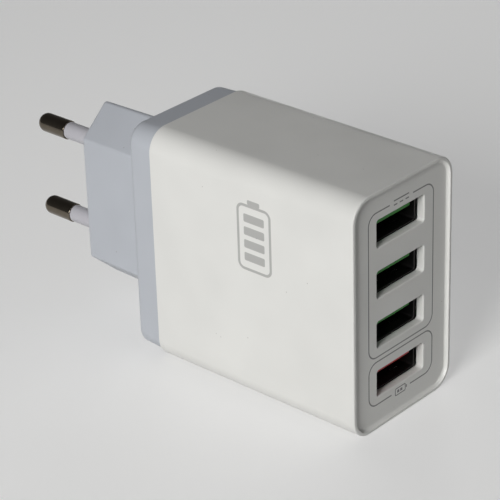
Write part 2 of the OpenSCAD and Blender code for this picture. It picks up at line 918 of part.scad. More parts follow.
front_shell();
rear_cover();
plug_pin(1);  // pin_upper
plug_pin(-1);  // pin_lower
plug_sleeve(1);  // sleeve_upper
plug_sleeve(-1);  // sleeve_lower
contact_strip(1);  // contact_upper
contact_strip(-1);  // contact_lower
main_board();
usb_board();
board_header();
insulation_sheet();
socket_shell(0);  // socket_shell_1
socket_shell(1);  // socket_shell_2
socket_shell(2);  // socket_shell_3
socket_shell(3);  // socket_shell_4
socket_tongue(0);  // socket_tongue_1
socket_tongue(1);  // socket_tongue_2
socket_tongue(2);  // socket_tongue_3
socket_tongue(3);  // socket_tongue_4
socket_contacts(0);  // socket_contacts_1
socket_contacts(1);  // socket_contacts_2
socket_contacts(2);  // socket_contacts_3
socket_contacts(3);  // socket_contacts_4
transformer_core();
transformer_bobbin();
transformer_winding();
capacitor_can(input_cap_y, input_cap_z[0], input_cap_d, input_cap_h, "darkslateblue");  // input_capacitor_1
capacitor_can(input_cap_y, input_cap_z[1], input_cap_d, input_cap_h, "darkslateblue");  // input_capacitor_2
capacitor_can(output_cap_y[0], output_cap_z, output_cap_d, output_cap_h, "darkgreen");  // output_capacitor_1
capacitor_can(output_cap_y[1], output_cap_z, output_cap_d, output_cap_h, "darkgreen");  // output_capacitor_2
bridge_rectifier();
fuse_resistor();
choke_core();
choke_winding();
safety_capacitor();
control_chip();
optocoupler();
heat_sink();
output_rectifier();
port_chips();
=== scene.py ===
"""Looks of a four-port USB mains charger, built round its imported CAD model.

Sizes are in millimetres and turn into metres when a mesh is made. X is the width, Y runs from the
port face to the pin tips and Z is up. Depths count from the front rim, as on the drawing.
"""

from __future__ import annotations

import logging
import math
from dataclasses import dataclass, field
from enum import Enum
from functools import cache

import bmesh
import bpy
import numpy as np
from mathutils import Matrix, Vector


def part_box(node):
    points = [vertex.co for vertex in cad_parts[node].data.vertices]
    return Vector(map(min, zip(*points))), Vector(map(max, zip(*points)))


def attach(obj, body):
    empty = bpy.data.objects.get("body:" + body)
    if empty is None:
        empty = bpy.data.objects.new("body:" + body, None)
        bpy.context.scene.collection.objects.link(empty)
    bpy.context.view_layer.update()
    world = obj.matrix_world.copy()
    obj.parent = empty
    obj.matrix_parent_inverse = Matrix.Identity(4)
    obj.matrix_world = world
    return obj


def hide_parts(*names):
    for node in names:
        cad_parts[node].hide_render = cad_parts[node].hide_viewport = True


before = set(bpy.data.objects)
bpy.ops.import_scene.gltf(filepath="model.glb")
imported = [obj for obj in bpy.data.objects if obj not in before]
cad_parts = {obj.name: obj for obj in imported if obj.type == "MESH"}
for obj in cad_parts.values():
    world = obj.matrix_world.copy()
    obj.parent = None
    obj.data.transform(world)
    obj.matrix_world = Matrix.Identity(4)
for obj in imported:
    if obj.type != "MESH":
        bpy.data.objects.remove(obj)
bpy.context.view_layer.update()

MM = 0.001
WELD = 2e-6
FLAT_ANGLE = 0.5
SHARP_ANGLE = 38
NORMAL_WEIGHT = 70
BODY = "root"
Triple = tuple[float, float, float]
Colour = Triple
LOG = logging.getLogger("charger")


# Outlines and skins


@dataclass(frozen=True)
class Loop:
    """Outline given as centres and outward directions, so that a reach gives its points."""

    base: np.ndarray
    out: np.ndarray

    def points(self, reach: float) -> np.ndarray:
        """Points of the outline in X and Z: each centre plus the reach along its direction."""
        return self.base + reach * self.out

    def part(self, start: int, stop: int) -> Loop:
        """Samples from start up to stop, counted round past the end if stop is over the number."""
        index = np.arange(start, stop) % len(self.base)
        return Loop(self.base[index], self.out[index])


def arc(centre: tuple[float, float], start: float, stop: float, count: int) -> Loop:
    """Arc round a centre: the direction turns evenly from one angle to the other.

    Args:
        centre: X and Z of the centre.
        start: first angle in degrees.
        stop: last angle in degrees.
        count: number of samples, both ends included.

    Returns:
        The arc, whose reach is its radius.
    """
    turn = np.radians(np.linspace(start, stop, count))
    return Loop(np.tile(np.array(centre, float), (count, 1)), np.stack([np.cos(turn), np.sin(turn)], -1))


def line(a: tuple[float, float], b: tuple[float, float], angle: float, count: int) -> Loop:
    """Even samples strictly between two centres, all facing one way.

    Args:
        a: X and Z of the first centre.
        b: X and Z of the last centre.
        angle: direction that the samples face, in degrees.
        count: number of samples.

    Returns:
        The samples between a and b, neither of them included.
    """
    share = np.linspace(0.0, 1.0, count + 2)[1:-1, None]
    base = (1.0 - share) * np.array(a, float) + share * np.array(b, float)
    face = np.array([math.cos(math.radians(angle)), math.sin(math.radians(angle))])
    return Loop(base, np.tile(face, (count, 1)))


def level(half: float, height: float, start: float, stop: float, count: int) -> Loop:
    """Samples on a level line across the outline, which stretches with the reach: X is t (half + reach).

    Args:
        half: X of the centres at the line's ends.
        height: Z of the line.
        start: first t.
        stop: last t.
        count: number of samples, neither end included.

    Returns:
        The samples.
    """
    t = np.linspace(start, stop, count + 2)[1:-1]
    return Loop(np.stack([t * half, np.full(count, height)], -1), np.stack([t, np.zeros(count)], -1))


def sample(x: float, z: float) -> Loop:
    """One sample that faces along X."""
    return Loop(np.array([[x, z]]), np.array([[1.0, 0.0]]))


def join(*parts: Loop) -> Loop:
    """One outline made of several parts in order."""
    return Loop(np.concatenate([p.base for p in parts]), np.concatenate([p.out for p in parts]))


def carry(loop: Loop, profile: np.ndarray) -> np.ndarray:
    """Carries a profile round an outline.

    Point (i, j) is centre j plus reach i times direction j, at depth i.

    Args:
        loop: the outline.
        profile: rows of reach and depth.

    Returns:
        Grid of points, profile rows by outline samples by X, Y and Z.
    """
    xz = loop.base[None] + profile[:, 0, None, None] * loop.out[None]
    y = np.broadcast_to(profile[:, 1, None], xz.shape[:2])
    return np.stack([xz[..., 0], y, xz[..., 1]], -1)


def bend(reach: float, depth: float, radius: float, start: float, stop: float, count: int = 7) -> np.ndarray:
    """Round corner of a profile.

    Args:
        reach: reach of the arc's centre.
        depth: depth of the arc's centre.
        radius: radius of the arc.
        start: first angle in degrees, from the outward direction towards greater depth.
        stop: last angle in degrees.
        count: number of points.

    Returns:
        Rows of reach and depth on a circle about the centre.
    """
    turn = np.radians(np.linspace(start, stop, count))
    return np.stack([reach + radius * np.cos(turn), depth + radius * np.sin(turn)], -1)


def rows(*parts: list[tuple[float, float]] | np.ndarray) -> np.ndarray:
    """One profile made of rows and bends in order; rows near an edge keep the flat beside it smooth."""
    return np.concatenate([np.array(p, float).reshape(-1, 2) for p in parts])


@dataclass
class Skin:
    """Grids of points in millimetres, welded into one closed mesh."""

    front: float
    grids: list[np.ndarray] = field(default_factory=list)

    def add(self, *grids: np.ndarray) -> None:
        """Adds grids whose last column joins the first, stacked row on row."""
        self.grids.append(np.concatenate(grids))

    def mesh(self, name: str) -> bpy.types.Mesh:
        """Welds the grids where they meet and turns every face outwards.

        Args:
            name: name of the new mesh.

        Returns:
            The mesh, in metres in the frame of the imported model.
        """
        points, quads, total = [], [], 0
        for grid in self.grids:
            n_row, n_col = grid.shape[:2]
            index = np.arange(n_row * n_col).reshape(n_row, n_col) + total
            after = np.roll(index, -1, axis=1)
            quads.append(np.stack([index[:-1], after[:-1], after[1:], index[1:]], -1).reshape(-1, 4))
            points.append(grid.reshape(-1, 3))
            total += n_row * n_col
        place = (np.concatenate(points) + np.array([0.0, self.front, 0.0])) * MM
        mesh = bpy.data.meshes.new(name)
        mesh.from_pydata(place.tolist(), [], np.concatenate(quads).tolist())
        weld(mesh, turn_out=True)
        return mesh


def weld(mesh: bpy.types.Mesh, turn_out: bool, flatten: bool = False) -> None:
    """Merges vertices that lie together.

    Args:
        mesh: the mesh to clean.
        turn_out: whether the faces are then turned outwards.
        flatten: whether triangles that lie in one plane are joined.
    """
    work = bmesh.new()
    work.from_mesh(mesh)
    bmesh.ops.remove_doubles(work, verts=work.verts, dist=WELD)
    bmesh.ops.dissolve_degenerate(work, edges=work.edges, dist=WELD / 4)
    if flatten:
        flat = math.radians(FLAT_ANGLE)
        bmesh.ops.dissolve_limit(work, angle_limit=flat, verts=work.verts, edges=work.edges)
    if turn_out:
        bmesh.ops.recalc_face_normals(work, faces=work.faces)
    work.to_mesh(mesh)
    work.free()


def put(
    name: str, mesh: bpy.types.Mesh, slot: str, material: bpy.types.Material, *nodes: str
) -> bpy.types.Object:
    """Places a mesh as a piece that stands for CAD nodes.

    Args:
        name: name of the piece.
        mesh: its mesh, already in place.
        slot: the record's material slot; not used.
        material: its finish.
        nodes: CAD nodes that it stands for.

    Returns:
        The new piece.
    """
    piece = bpy.data.objects.new(name, mesh)
    bpy.context.scene.collection.objects.link(piece)
    mesh.materials.clear()
    mesh.materials.append(material)
    mesh.shade_smooth()
    mesh.set_sharp_from_angle(angle=math.radians(SHARP_ANGLE))
    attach(piece, BODY)
    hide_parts(*nodes)
    LOG.info("%s stands for %s with %d faces", name, ", ".join(nodes), len(mesh.polygons))
    return piece


def even_normals(piece: bpy.types.Object) -> None:
    """Weights the normals by face area, so that flats stay flat between rounded edges.

    Args:
        piece: the piece to shade.
    """
    normals = piece.modifiers.new("even_normals", "WEIGHTED_NORMAL")
    normals.keep_sharp = True
    normals.weight = NORMAL_WEIGHT


# Shader groups


class Graph:
    """Places and links shader nodes in one tree."""

    def __init__(self, tree: bpy.types.NodeTree) -> None:
        """Works on the given tree."""
        self.tree = tree

    def node(self, kind: str, **settings: object) -> bpy.types.Node:
        """Adds a node.

        Args:
            kind: the node's type.
            settings: properties to set on it.

        Returns:
            The node.
        """
        made = self.tree.nodes.new(kind)
        for key, value in settings.items():
            setattr(made, key, value)
        return made

    def feed(self, source: object, target: bpy.types.NodeSocket) -> None:
        """Links a socket to an input, or sets the input to a plain value.

        Args:
            source: socket or value.
            target: the input.
        """
        if isinstance(source, bpy.types.NodeSocket):
            self.tree.links.new(source, target)
        else:
            target.default_value = source

    def math(self, operation: str, *values: object, clamp: bool = False) -> bpy.types.NodeSocket:
        """Sum, product or other operation.

        Args:
            operation: the Math node's operation.
            values: sockets or numbers.
            clamp: whether the result is held between 0 and 1.

        Returns:
            Socket with the result.
        """
        made = self.node("ShaderNodeMath", operation=operation, use_clamp=clamp)
        for value, socket in zip(values, made.inputs):
            self.feed(value, socket)
        return made.outputs[0]

    def total(self, base: object, *terms: tuple[object, float]) -> bpy.types.NodeSocket:
        """Base plus each term's value times its weight.

        Args:
            base: socket or number.
            terms: pairs of a socket and its weight.

        Returns:
            Socket with the sum.
        """
        for value, weight in terms:
            base = self.math("ADD", base, self.math("MULTIPLY", value, weight))
        return base

    def highest(self, *values: object) -> bpy.types.NodeSocket:
        """Greatest of several values; for masks, this is their union.

        Args:
            values: sockets or numbers.

        Returns:
            Socket with the greatest.
        """
        best = values[0]
        for value in values[1:]:
            best = self.math("MAXIMUM", best, value)
        return best

    def mix(self, share: object, a: object, b: object) -> bpy.types.NodeSocket:
        """Colour between two colours.

        Args:
            share: share of the second colour, from 0 to 1.
            a: first colour, plain or as a socket.
            b: second colour, plain or as a socket.

        Returns:
            Socket with the colour.
        """
        made = self.node("ShaderNodeMix", data_type="RGBA")
        for value, socket in zip((share, a, b), (made.inputs[0], made.inputs[6], made.inputs[7])):
            self.feed((*value, 1.0) if isinstance(value, tuple) else value, socket)
        return made.outputs[2]

    def step(self, value: object, low: float, high: float) -> bpy.types.NodeSocket:
        """Straight ramp from 0 to 1, level on both sides.

        Args:
            value: socket to read.
            low: value at which the ramp is 0; it may be the greater one.
            high: value at which the ramp is 1.

        Returns:
            Socket with the ramp.
        """
        made = self.node("ShaderNodeMapRange", clamp=True)
        for number, socket in zip((value, low, high, 0.0, 1.0), made.inputs):
            self.feed(number, socket)
        return made.outputs[0]

    def noise(
        self, place: object, size: object, detail: float = 2.0, rough: float = 0.5
    ) -> bpy.types.NodeSocket:
        """Noise from 0 to 1.

        Args:
            place: socket with coordinates.
            size: about how large the features are in millimetres, as a number or a socket.
            detail: number of finer layers.
            rough: strength of each layer beside the one before it.

        Returns:
            Socket with the noise.
        """
        made = self.node("ShaderNodeTexNoise", noise_dimensions="3D")
        self.feed(place, made.inputs["Vector"])
        self.feed(self.math("DIVIDE", 1.0 / MM, size), made.inputs["Scale"])
        self.feed(detail, made.inputs["Detail"])
        self.feed(rough, made.inputs["Roughness"])
        return made.outputs["Fac"]

    def mapped(
        self, place: object, scale: Triple, turn: Triple = (0.0, 0.0, 0.0)
    ) -> bpy.types.NodeSocket:
        """Coordinates scaled along each axis and turned.

        Args:
            place: socket with coordinates.
            scale: factors along X, Y and Z.
            turn: angles about X, Y and Z in radians.

        Returns:
            Socket with the new coordinates.
        """
        made = self.node("ShaderNodeMapping")
        for value, key in ((place, "Vector"), (scale, "Scale"), (turn, "Rotation")):
            self.feed(value, made.inputs[key])
        return made.outputs[0]

    def axes(self, place: object) -> tuple[bpy.types.NodeSocket, ...]:
        """Takes coordinates apart.

        Args:
            place: socket with coordinates.

        Returns:
            Sockets with X, Y and Z in millimetres.
        """
        split = self.node("ShaderNodeSeparateXYZ")
        self.feed(place, split.inputs[0])
        return tuple(self.math("DIVIDE", part, MM) for part in split.outputs)

    def group(self, tree: bpy.types.NodeTree, **values: object) -> dict[str, bpy.types.NodeSocket]:
        """Places a shader group.

        Args:
            tree: the group.
            values: its inputs, with underscores for the spaces in their names.

        Returns:
            Its output sockets by name.
        """
        made = self.node("ShaderNodeGroup", node_tree=tree)
        for key, value in values.items():
            self.feed(value, made.inputs[key.replace("_", " ")])
        return {socket.name: socket for socket in made.outputs}


class Group(Graph):
    """Shader group, with its own inputs and results, that several finishes share."""

    def __init__(self, name: str, inputs: dict[str, float | None], outputs: tuple[str, ...]) -> None:
        """Makes the group's tree and its sockets.

        Args:
            name: name of the group.
            inputs: input names with defaults; None stands for a vector.
            outputs: names of the number outputs.
        """
        super().__init__(bpy.data.node_groups.new(name, "ShaderNodeTree"))
        for key, value in inputs.items():
            kind = "NodeSocketVector" if value is None else "NodeSocketFloat"
            socket = self.tree.interface.new_socket(name=key, in_out="INPUT", socket_type=kind)
            if value is not None:
                socket.default_value = value
        for key in outputs:
            self.tree.interface.new_socket(name=key, in_out="OUTPUT", socket_type="NodeSocketFloat")
        self.given = {socket.name: socket for socket in self.node("NodeGroupInput").outputs if socket.name}
        self.results = self.node("NodeGroupOutput").inputs


@cache
def moulded_grain() -> bpy.types.NodeTree:
    """Moulded surface: fine spark texture, slow sink marks and a mottled tone.

    Returns:
        The group.
    """
    group = Group("moulded_grain", {"Place": None, "Grain": 0.2, "Waves": 11.0}, ("Height", "Tone", "Gloss"))
    fine = group.noise(group.given["Place"], group.given["Grain"], 3.0)
    broad = group.noise(group.given["Place"], group.given["Waves"], 1.0)
    group.feed(group.total(fine, (broad, 0.5)), group.results["Height"])
    group.feed(group.math("SUBTRACT", broad, 0.5), group.results["Tone"])
    group.feed(group.step(fine, 0.35, 0.65), group.results["Gloss"])
    return group.tree


@cache
def handling_marks() -> bpy.types.NodeTree:
    """Touch marks: soft smudges and sparse hairline scratches, each a mask from 0 to 1.

    Returns:
        The group.
    """
    group = Group("handling_marks", {"Place": None, "Smudges": 1.0, "Scratches": 1.0}, ("Smudge", "Scratch"))
    place = group.given["Place"]
    spread = group.step(group.noise(place, 9.0, 4.0, 0.62), 0.52, 0.74)
    group.feed(group.math("MULTIPLY", spread, group.given["Smudges"]), group.results["Smudge"])
    drawn = group.mapped(place, (1.0, 14.0, 14.0), (0.5, 0.9, 0.35))
    hair = group.step(group.noise(drawn, 7.0), 0.735, 0.76)
    group.feed(group.math("MULTIPLY", hair, group.given["Scratches"]), group.results["Scratch"])
    return group.tree


@cache
def dust_specks() -> bpy.types.NodeTree:
    """Dust: a few round specks, as a mask from 0 to 1.

    Returns:
        The group.
    """
    group = Group("dust_specks", {"Place": None, "Spacing": 3.5, "Size": 0.035}, ("Speck",))
    cells = group.node("ShaderNodeTexVoronoi")
    group.feed(group.given["Place"], cells.inputs["Vector"])
    group.feed(group.math("DIVIDE", 1.0 / MM, group.given["Spacing"]), cells.inputs["Scale"])
    near = group.math("LESS_THAN", cells.outputs["Distance"], group.given["Size"])
    thin = group.math("GREATER_THAN", group.noise(group.given["Place"], 14.0), 0.5)
    group.feed(group.math("MULTIPLY", near, thin), group.results["Speck"])
    return group.tree


@cache
def printed_block() -> bpy.types.NodeTree:
    """Printed rounded rectangle: its filled area and its outline, in millimetres.

    The distance to the edge is the length of the positive part of (|offset| less half size plus
    corner), plus the smaller of 0 and its greater part, less the corner.

    Returns:
        The group.
    """
    group = Group(
        "printed_block",
        {
            "Across": 0.0, "Up": 0.0, "Middle Across": 0.0, "Middle Up": 0.0, "Half Width": 1.0,
            "Half Height": 1.0, "Corner": 0.2, "Line": 0.25, "Edge": 0.05,
        },
        ("Fill", "Outline"),
    )
    given = group.given
    parts = []
    for axis, size in (("Across", "Half Width"), ("Up", "Half Height")):
        offset = group.math("ABSOLUTE", group.math("SUBTRACT", given[axis], given[f"Middle {axis}"]))
        parts.append(group.math("SUBTRACT", offset, group.math("SUBTRACT", given[size], given["Corner"])))
    squares = [group.math("POWER", group.math("MAXIMUM", part, 0.0), 2.0) for part in parts]
    away = group.math("SQRT", group.math("ADD", *squares))
    inside = group.math("MINIMUM", group.math("MAXIMUM", *parts), 0.0)
    distance = group.math("SUBTRACT", group.math("ADD", away, inside), given["Corner"])
    band = group.total(group.math("ABSOLUTE", distance), (given["Line"], -0.5))
    for edge, result in ((distance, "Fill"), (band, "Outline")):
        soft = group.math("DIVIDE", edge, given["Edge"])
        group.feed(group.math("SUBTRACT", 0.5, soft, clamp=True), group.results[result])
    return group.tree


# Finishes


def srgb(red: int, green: int, blue: int) -> Colour:
    """Linear colour of an sRGB value.

    Args:
        red: red from 0 to 255.
        green: green from 0 to 255.
        blue: blue from 0 to 255.

    Returns:
        The linear colour, from 0 to 1.
    """
    parts = np.array([red, green, blue]) / 255.0
    linear = np.where(parts <= 0.04045, parts / 12.92, ((parts + 0.055) / 1.055) ** 2.4)
    return tuple(float(v) for v in linear)


def shade(colour: Colour, factor: float) -> Colour:
    """Colour made lighter or darker by a factor, up to white."""
    return tuple(min(1.0, c * factor) for c in colour)


class Lay(Enum):
    """Direction of the lines in a metal surface, as the factors that stretch a noise into lines."""

    TURNED = (0.02, 1.0, 0.02)
    DRAWN = (1.0, 0.03, 1.0)
    RAISED = (0.03, 1.0, 1.0)


@dataclass(frozen=True)
class Printed:
    """One printed rounded rectangle on a flat, in millimetres from the frame's middle line and base."""

    across: float
    up: float
    half_width: float
    half_height: float
    corner: float
    line: float = 0.0

    def mask(self, graph: Graph, across: object, up: object) -> bpy.types.NodeSocket:
        """Mask of the outline if a line width is given, else of the filled shape.

        Args:
            graph: graph of the finish.
            across: socket with the place across the flat.
            up: socket with the height.

        Returns:
            Socket with the mask.
        """
        masks = graph.group(
            printed_block(), Across=across, Up=up, Middle_Across=self.across, Middle_Up=self.up,
            Half_Width=self.half_width, Half_Height=self.half_height, Corner=self.corner, Line=self.line,
        )
        return masks["Outline" if self.line else "Fill"]


@dataclass(frozen=True)
class Surface:
    """What every finish starts from: a material with one Principled shader."""

    name: str

    def begin(self) -> tuple[bpy.types.Material, Graph, bpy.types.Node, bpy.types.NodeSocket]:
        """New material.

        Returns:
            The material, its graph, its shader and the socket of Object coordinates.
        """
        material = bpy.data.materials.new(self.name)
        material.use_nodes = True
        graph = Graph(material.node_tree)
        shader = next(n for n in material.node_tree.nodes if n.type == "BSDF_PRINCIPLED")
        place = graph.node("ShaderNodeTexCoord").outputs["Object"]
        return material, graph, shader, place

    def bump(
        self, graph: Graph, shader: bpy.types.Node, height: object, depth: float, strength: float
    ) -> None:
        """Raises the surface.

        Args:
            graph: graph of the finish.
            shader: the shader to feed.
            height: socket with the height, from 0 to about 1.
            depth: what a height of 1 stands for, in millimetres.
            strength: share of the effect.
        """
        made = graph.node("ShaderNodeBump")
        for value, key in ((strength, "Strength"), (depth * MM, "Distance"), (height, "Height")):
            graph.feed(value, made.inputs[key])
        graph.feed(made.outputs["Normal"], shader.inputs["Normal"])


@dataclass(frozen=True)
class Plastic(Surface):
    """Injection-moulded plastic with a fine grain, touch marks, a little dust and printed marks."""

    colour: Colour
    roughness: float = 0.42
    grain: float = 0.22
    depth: float = 0.01
    mottle: float = 0.025
    gloss: float = 0.05
    gloss_middle: float = 0.03
    smudge: float = 0.05
    scratch: float = 0.1
    scratch_depth: float = 0.4
    dust: Colour | None = None
    dust_cover: float = 0.5
    ink: Colour = srgb(74, 74, 76)
    ink_cover: float = 0.84
    ink_gloss: float = 0.08
    ink_height: float = 0.5

    def prints(self, graph: Graph, place: object) -> bpy.types.NodeSocket | None:
        """Mask of what is printed on the piece; none on plain plastic."""
        return None

    def material(self) -> bpy.types.Material:
        """Builds the finish: grain and touch marks change tone, roughness and height, and ink lies on top.

        Returns:
            The material.
        """
        material, graph, shader, place = self.begin()
        grain = graph.group(moulded_grain(), Place=place, Grain=self.grain)
        touch = graph.group(handling_marks(), Place=place)
        deep, light = shade(self.colour, 1.0 - self.mottle), shade(self.colour, 1.0 + self.mottle)
        tone = graph.mix(graph.step(grain["Tone"], -0.22, 0.22), deep, light)
        if self.dust:
            specks = graph.group(dust_specks(), Place=place)
            tone = graph.mix(graph.math("MULTIPLY", specks["Speck"], self.dust_cover), tone, self.dust)
        rough = graph.total(
            self.roughness - self.gloss_middle, (grain["Gloss"], self.gloss),
            (touch["Smudge"], -self.smudge), (touch["Scratch"], self.scratch),
        )
        height = graph.total(grain["Height"], (touch["Scratch"], -self.scratch_depth))
        ink = self.prints(graph, place)
        if ink is not None:
            tone = graph.mix(graph.math("MULTIPLY", ink, self.ink_cover), tone, self.ink)
            rough = graph.total(rough, (ink, -self.ink_gloss))
            height = graph.total(height, (ink, self.ink_height))
        graph.feed(tone, shader.inputs["Base Color"])
        graph.feed(rough, shader.inputs["Roughness"])
        graph.feed(1.5, shader.inputs["IOR"])
        self.bump(graph, shader, height, self.depth, 0.5)
        return material


@dataclass(frozen=True)
class ShellPlastic(Plastic):
    """White plastic of the front shell, with the marks on the port panel and on the side."""

    front: float = 0.0
    side: float = 0.0
    print_depth: float = 0.85
    side_depth: float = 0.1
    badge_cover: float = 0.56
    borders: tuple[Printed, ...] = ()
    breaks: tuple[Printed, ...] = ()
    symbols: tuple[Printed, ...] = ()
    badge: tuple[Printed, ...] = ()

    def prints(self, graph: Graph, place: object) -> bpy.types.NodeSocket | None:
        """Borders less their breaks, with the signs, on the panel; the pictogram on the side.

        Args:
            graph: graph of the finish.
            place: socket with Object coordinates.

        Returns:
            Socket with the mask.
        """
        x, y, z = graph.axes(place)
        depth = graph.math("SUBTRACT", y, self.front)
        borders, breaks, symbols = (
            graph.highest(*(shape.mask(graph, x, z) for shape in shapes))
            for shapes in (self.borders, self.breaks, self.symbols)
        )
        lines = graph.math("MULTIPLY", borders, graph.math("SUBTRACT", 1.0, breaks))
        on_panel = graph.math("LESS_THAN", depth, self.print_depth)
        face = graph.math("MULTIPLY", graph.highest(lines, symbols), on_panel)
        on_side = graph.math("LESS_THAN", x, self.side + self.side_depth)
        badge = graph.highest(*(shape.mask(graph, depth, z) for shape in self.badge))
        badge = graph.math("MULTIPLY", badge, on_side)
        return graph.highest(face, graph.math("MULTIPLY", badge, self.badge_cover))


@dataclass(frozen=True)
class Metal(Surface):
    """Metal with fine lines, a slow change of tone and finger marks."""

    colour: Colour
    roughness: float
    lay: Lay = Lay.DRAWN
    pitch: float = 0.25
    depth: float = 0.004
    cloud: float = 2.5
    cloud_tone: float = 0.86

    def material(self) -> bpy.types.Material:
        """Builds the finish: lines are noise stretched along the lay, so that it varies only across.

        Returns:
            The material.
        """
        material, graph, shader, place = self.begin()
        lines = graph.noise(graph.mapped(place, self.lay.value), self.pitch, 3.0, 0.6)
        touch = graph.group(handling_marks(), Place=place, Scratches=0.6)
        cloud = graph.step(graph.noise(place, self.cloud, 3.0), 0.35, 0.7)
        tone = graph.mix(cloud, self.colour, shade(self.colour, self.cloud_tone))
        graph.feed(tone, shader.inputs["Base Color"])
        rough = graph.total(self.roughness - 0.05, (lines, 0.1), (touch["Smudge"], 0.12))
        graph.feed(rough, shader.inputs["Roughness"])
        graph.feed(1.0, shader.inputs["Metallic"])
        self.bump(graph, shader, lines, self.depth, 0.4)
        return material


@dataclass(frozen=True)
class Can:
    """Upright can in a shrunk sleeve: its axis is along X, and sizes are in millimetres."""

    stripe: Colour
    middle: tuple[float, float]
    top: float
    radius: float
    stripe_edge: float = 0.86
    stripe_soft: float = 0.02
    sleeve_lip: float = 1.1
    top_depth: float = 0.45


@dataclass(frozen=True)
class Component(Surface):
    """Body of an electronic part, with tinned leads below the plane of the board's face."""

    colour: Colour
    roughness: float = 0.5
    leads_below: float | None = None
    grain: float = 0.3
    can: Can | None = None
    tin: Colour = srgb(205, 206, 205)

    def material(self) -> bpy.types.Material:
        """Builds the finish: grain on the body, a stripe down a can's side and bare metal on its top.

        Returns:
            The material.
        """
        material, graph, shader, place = self.begin()
        grain = graph.group(moulded_grain(), Place=place, Grain=self.grain, Waves=3.0)
        tone = graph.mix(graph.step(grain["Tone"], -0.2, 0.2), shade(self.colour, 0.82), self.colour)
        x, y, z = graph.axes(place)
        metal: object = 0.0
        if self.can:
            can = self.can
            offsets = [graph.math("SUBTRACT", v, middle) for v, middle in zip((y, z), can.middle)]
            edge, soft = can.radius * can.stripe_edge, can.radius * can.stripe_soft
            tone = graph.mix(graph.step(offsets[0], edge, edge + soft), tone, can.stripe)
            out = graph.math("SQRT", graph.math("ADD", *(graph.math("POWER", v, 2.0) for v in offsets)))
            disc = graph.math("LESS_THAN", out, can.radius - can.sleeve_lip)
            metal = graph.math("MULTIPLY", disc, graph.math("GREATER_THAN", x, can.top - can.top_depth))
        if self.leads_below is not None:
            metal = graph.highest(metal, graph.math("LESS_THAN", x, self.leads_below))
        graph.feed(graph.mix(metal, tone, self.tin), shader.inputs["Base Color"])
        rough = graph.total(self.roughness - 0.04, (grain["Gloss"], 0.08), (metal, -0.15))
        graph.feed(rough, shader.inputs["Roughness"])
        graph.feed(metal, shader.inputs["Metallic"])
        self.bump(graph, shader, grain["Height"], 0.01, 0.4)
        return material


@dataclass(frozen=True)
class Wound(Surface):
    """Turns of wire or tape: a ridge and a line of shade for each turn, along X."""

    colour: Colour
    pitch: float
    roughness: float = 0.35
    metallic: float = 0.0

    def material(self) -> bpy.types.Material:
        """Builds the finish: the height of a turn is the half sine of X over the pitch.

        Returns:
            The material.
        """
        material, graph, shader, place = self.begin()
        turns = graph.math("DIVIDE", graph.axes(place)[0], self.pitch)
        turns = graph.total(turns, (graph.noise(place, 4.0), 0.35))
        ridge = graph.math("ABSOLUTE", graph.math("SINE", graph.math("MULTIPLY", turns, math.pi)))
        tone = graph.mix(graph.step(ridge, 0.0, 0.5), shade(self.colour, 0.45), self.colour)
        graph.feed(tone, shader.inputs["Base Color"])
        graph.feed(graph.total(self.roughness + 0.1, (ridge, -0.1)), shader.inputs["Roughness"])
        graph.feed(self.metallic, shader.inputs["Metallic"])
        self.bump(graph, shader, ridge, self.pitch * 0.3, 0.8)
        return material


@dataclass(frozen=True)
class Laminate(Surface):
    """Circuit board: lacquer over copper tracks, with the fine mottle of the glass cloth below."""

    lacquer: Colour
    track: Colour
    track_pitch: float = 3.2
    cloth: float = 0.35

    def material(self) -> bpy.types.Material:
        """Builds the finish: tracks are the borders of angular cells, and the cloth is a fine noise.

        Returns:
            The material.
        """
        material, graph, shader, place = self.begin()
        cells = graph.node("ShaderNodeTexVoronoi", feature="DISTANCE_TO_EDGE")
        graph.feed(place, cells.inputs["Vector"])
        graph.feed(1.0 / (self.track_pitch * MM), cells.inputs["Scale"])
        graph.feed(0.35, cells.inputs["Randomness"])
        tracks = graph.step(cells.outputs["Distance"], 0.13, 0.1)
        cloth = graph.noise(place, self.cloth, 1.0)
        tone = graph.mix(tracks, self.lacquer, self.track)
        tone = graph.mix(graph.math("MULTIPLY", cloth, 0.25), tone, shade(self.lacquer, 0.5))
        graph.feed(tone, shader.inputs["Base Color"])
        graph.feed(graph.total(0.3, (cloth, 0.12)), shader.inputs["Roughness"])
        graph.feed(0.4, shader.inputs["Coat Weight"])
        self.bump(graph, shader, graph.total(tracks, (cloth, 0.2)), 0.035, 0.6)
        return material


@dataclass(frozen=True)
class Film(Surface):
    """Thin see-through insulation film, creased a little."""

    colour: Colour
    alpha: float
    roughness: float = 0.2

    def material(self) -> bpy.types.Material:
        """Builds the finish: a slow noise darkens, thickens and bends the film.

        Returns:
            The material.
        """
        material, graph, shader, place = self.begin()
        crease = graph.noise(place, 6.0, 4.0, 0.6)
        graph.feed(graph.mix(crease, self.colour, shade(self.colour, 0.8)), shader.inputs["Base Color"])
        graph.feed(graph.total(self.alpha - 0.05, (crease, 0.1)), shader.inputs["Alpha"])
        graph.feed(self.roughness, shader.inputs["Roughness"])
        self.bump(graph, shader, crease, 0.2, 0.4)
        return material


# Pieces


@dataclass
class Housing:
    """Sizes that the shell, the cover and the plug share."""

    width: float = 29.2
    height: float = 49.4
    length: float = 49.8
    corner: float = 4.6
    wall: float = 1.8
    corner_steps: int = 17

    @property
    def front(self) -> float:
        """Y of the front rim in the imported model's frame."""
        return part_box("front_shell")[0].y / MM

    @property
    def half(self) -> float:
        """X of the corners' centres."""
        return self.width / 2 - self.corner

    @property
    def low(self) -> float:
        """Z of the lower corners' centres."""
        return self.corner

    @property
    def high(self) -> float:
        """Z of the upper corners' centres."""
        return self.height - self.corner

    @property
    def middle(self) -> float:
        """Z halfway up."""
        return self.height / 2


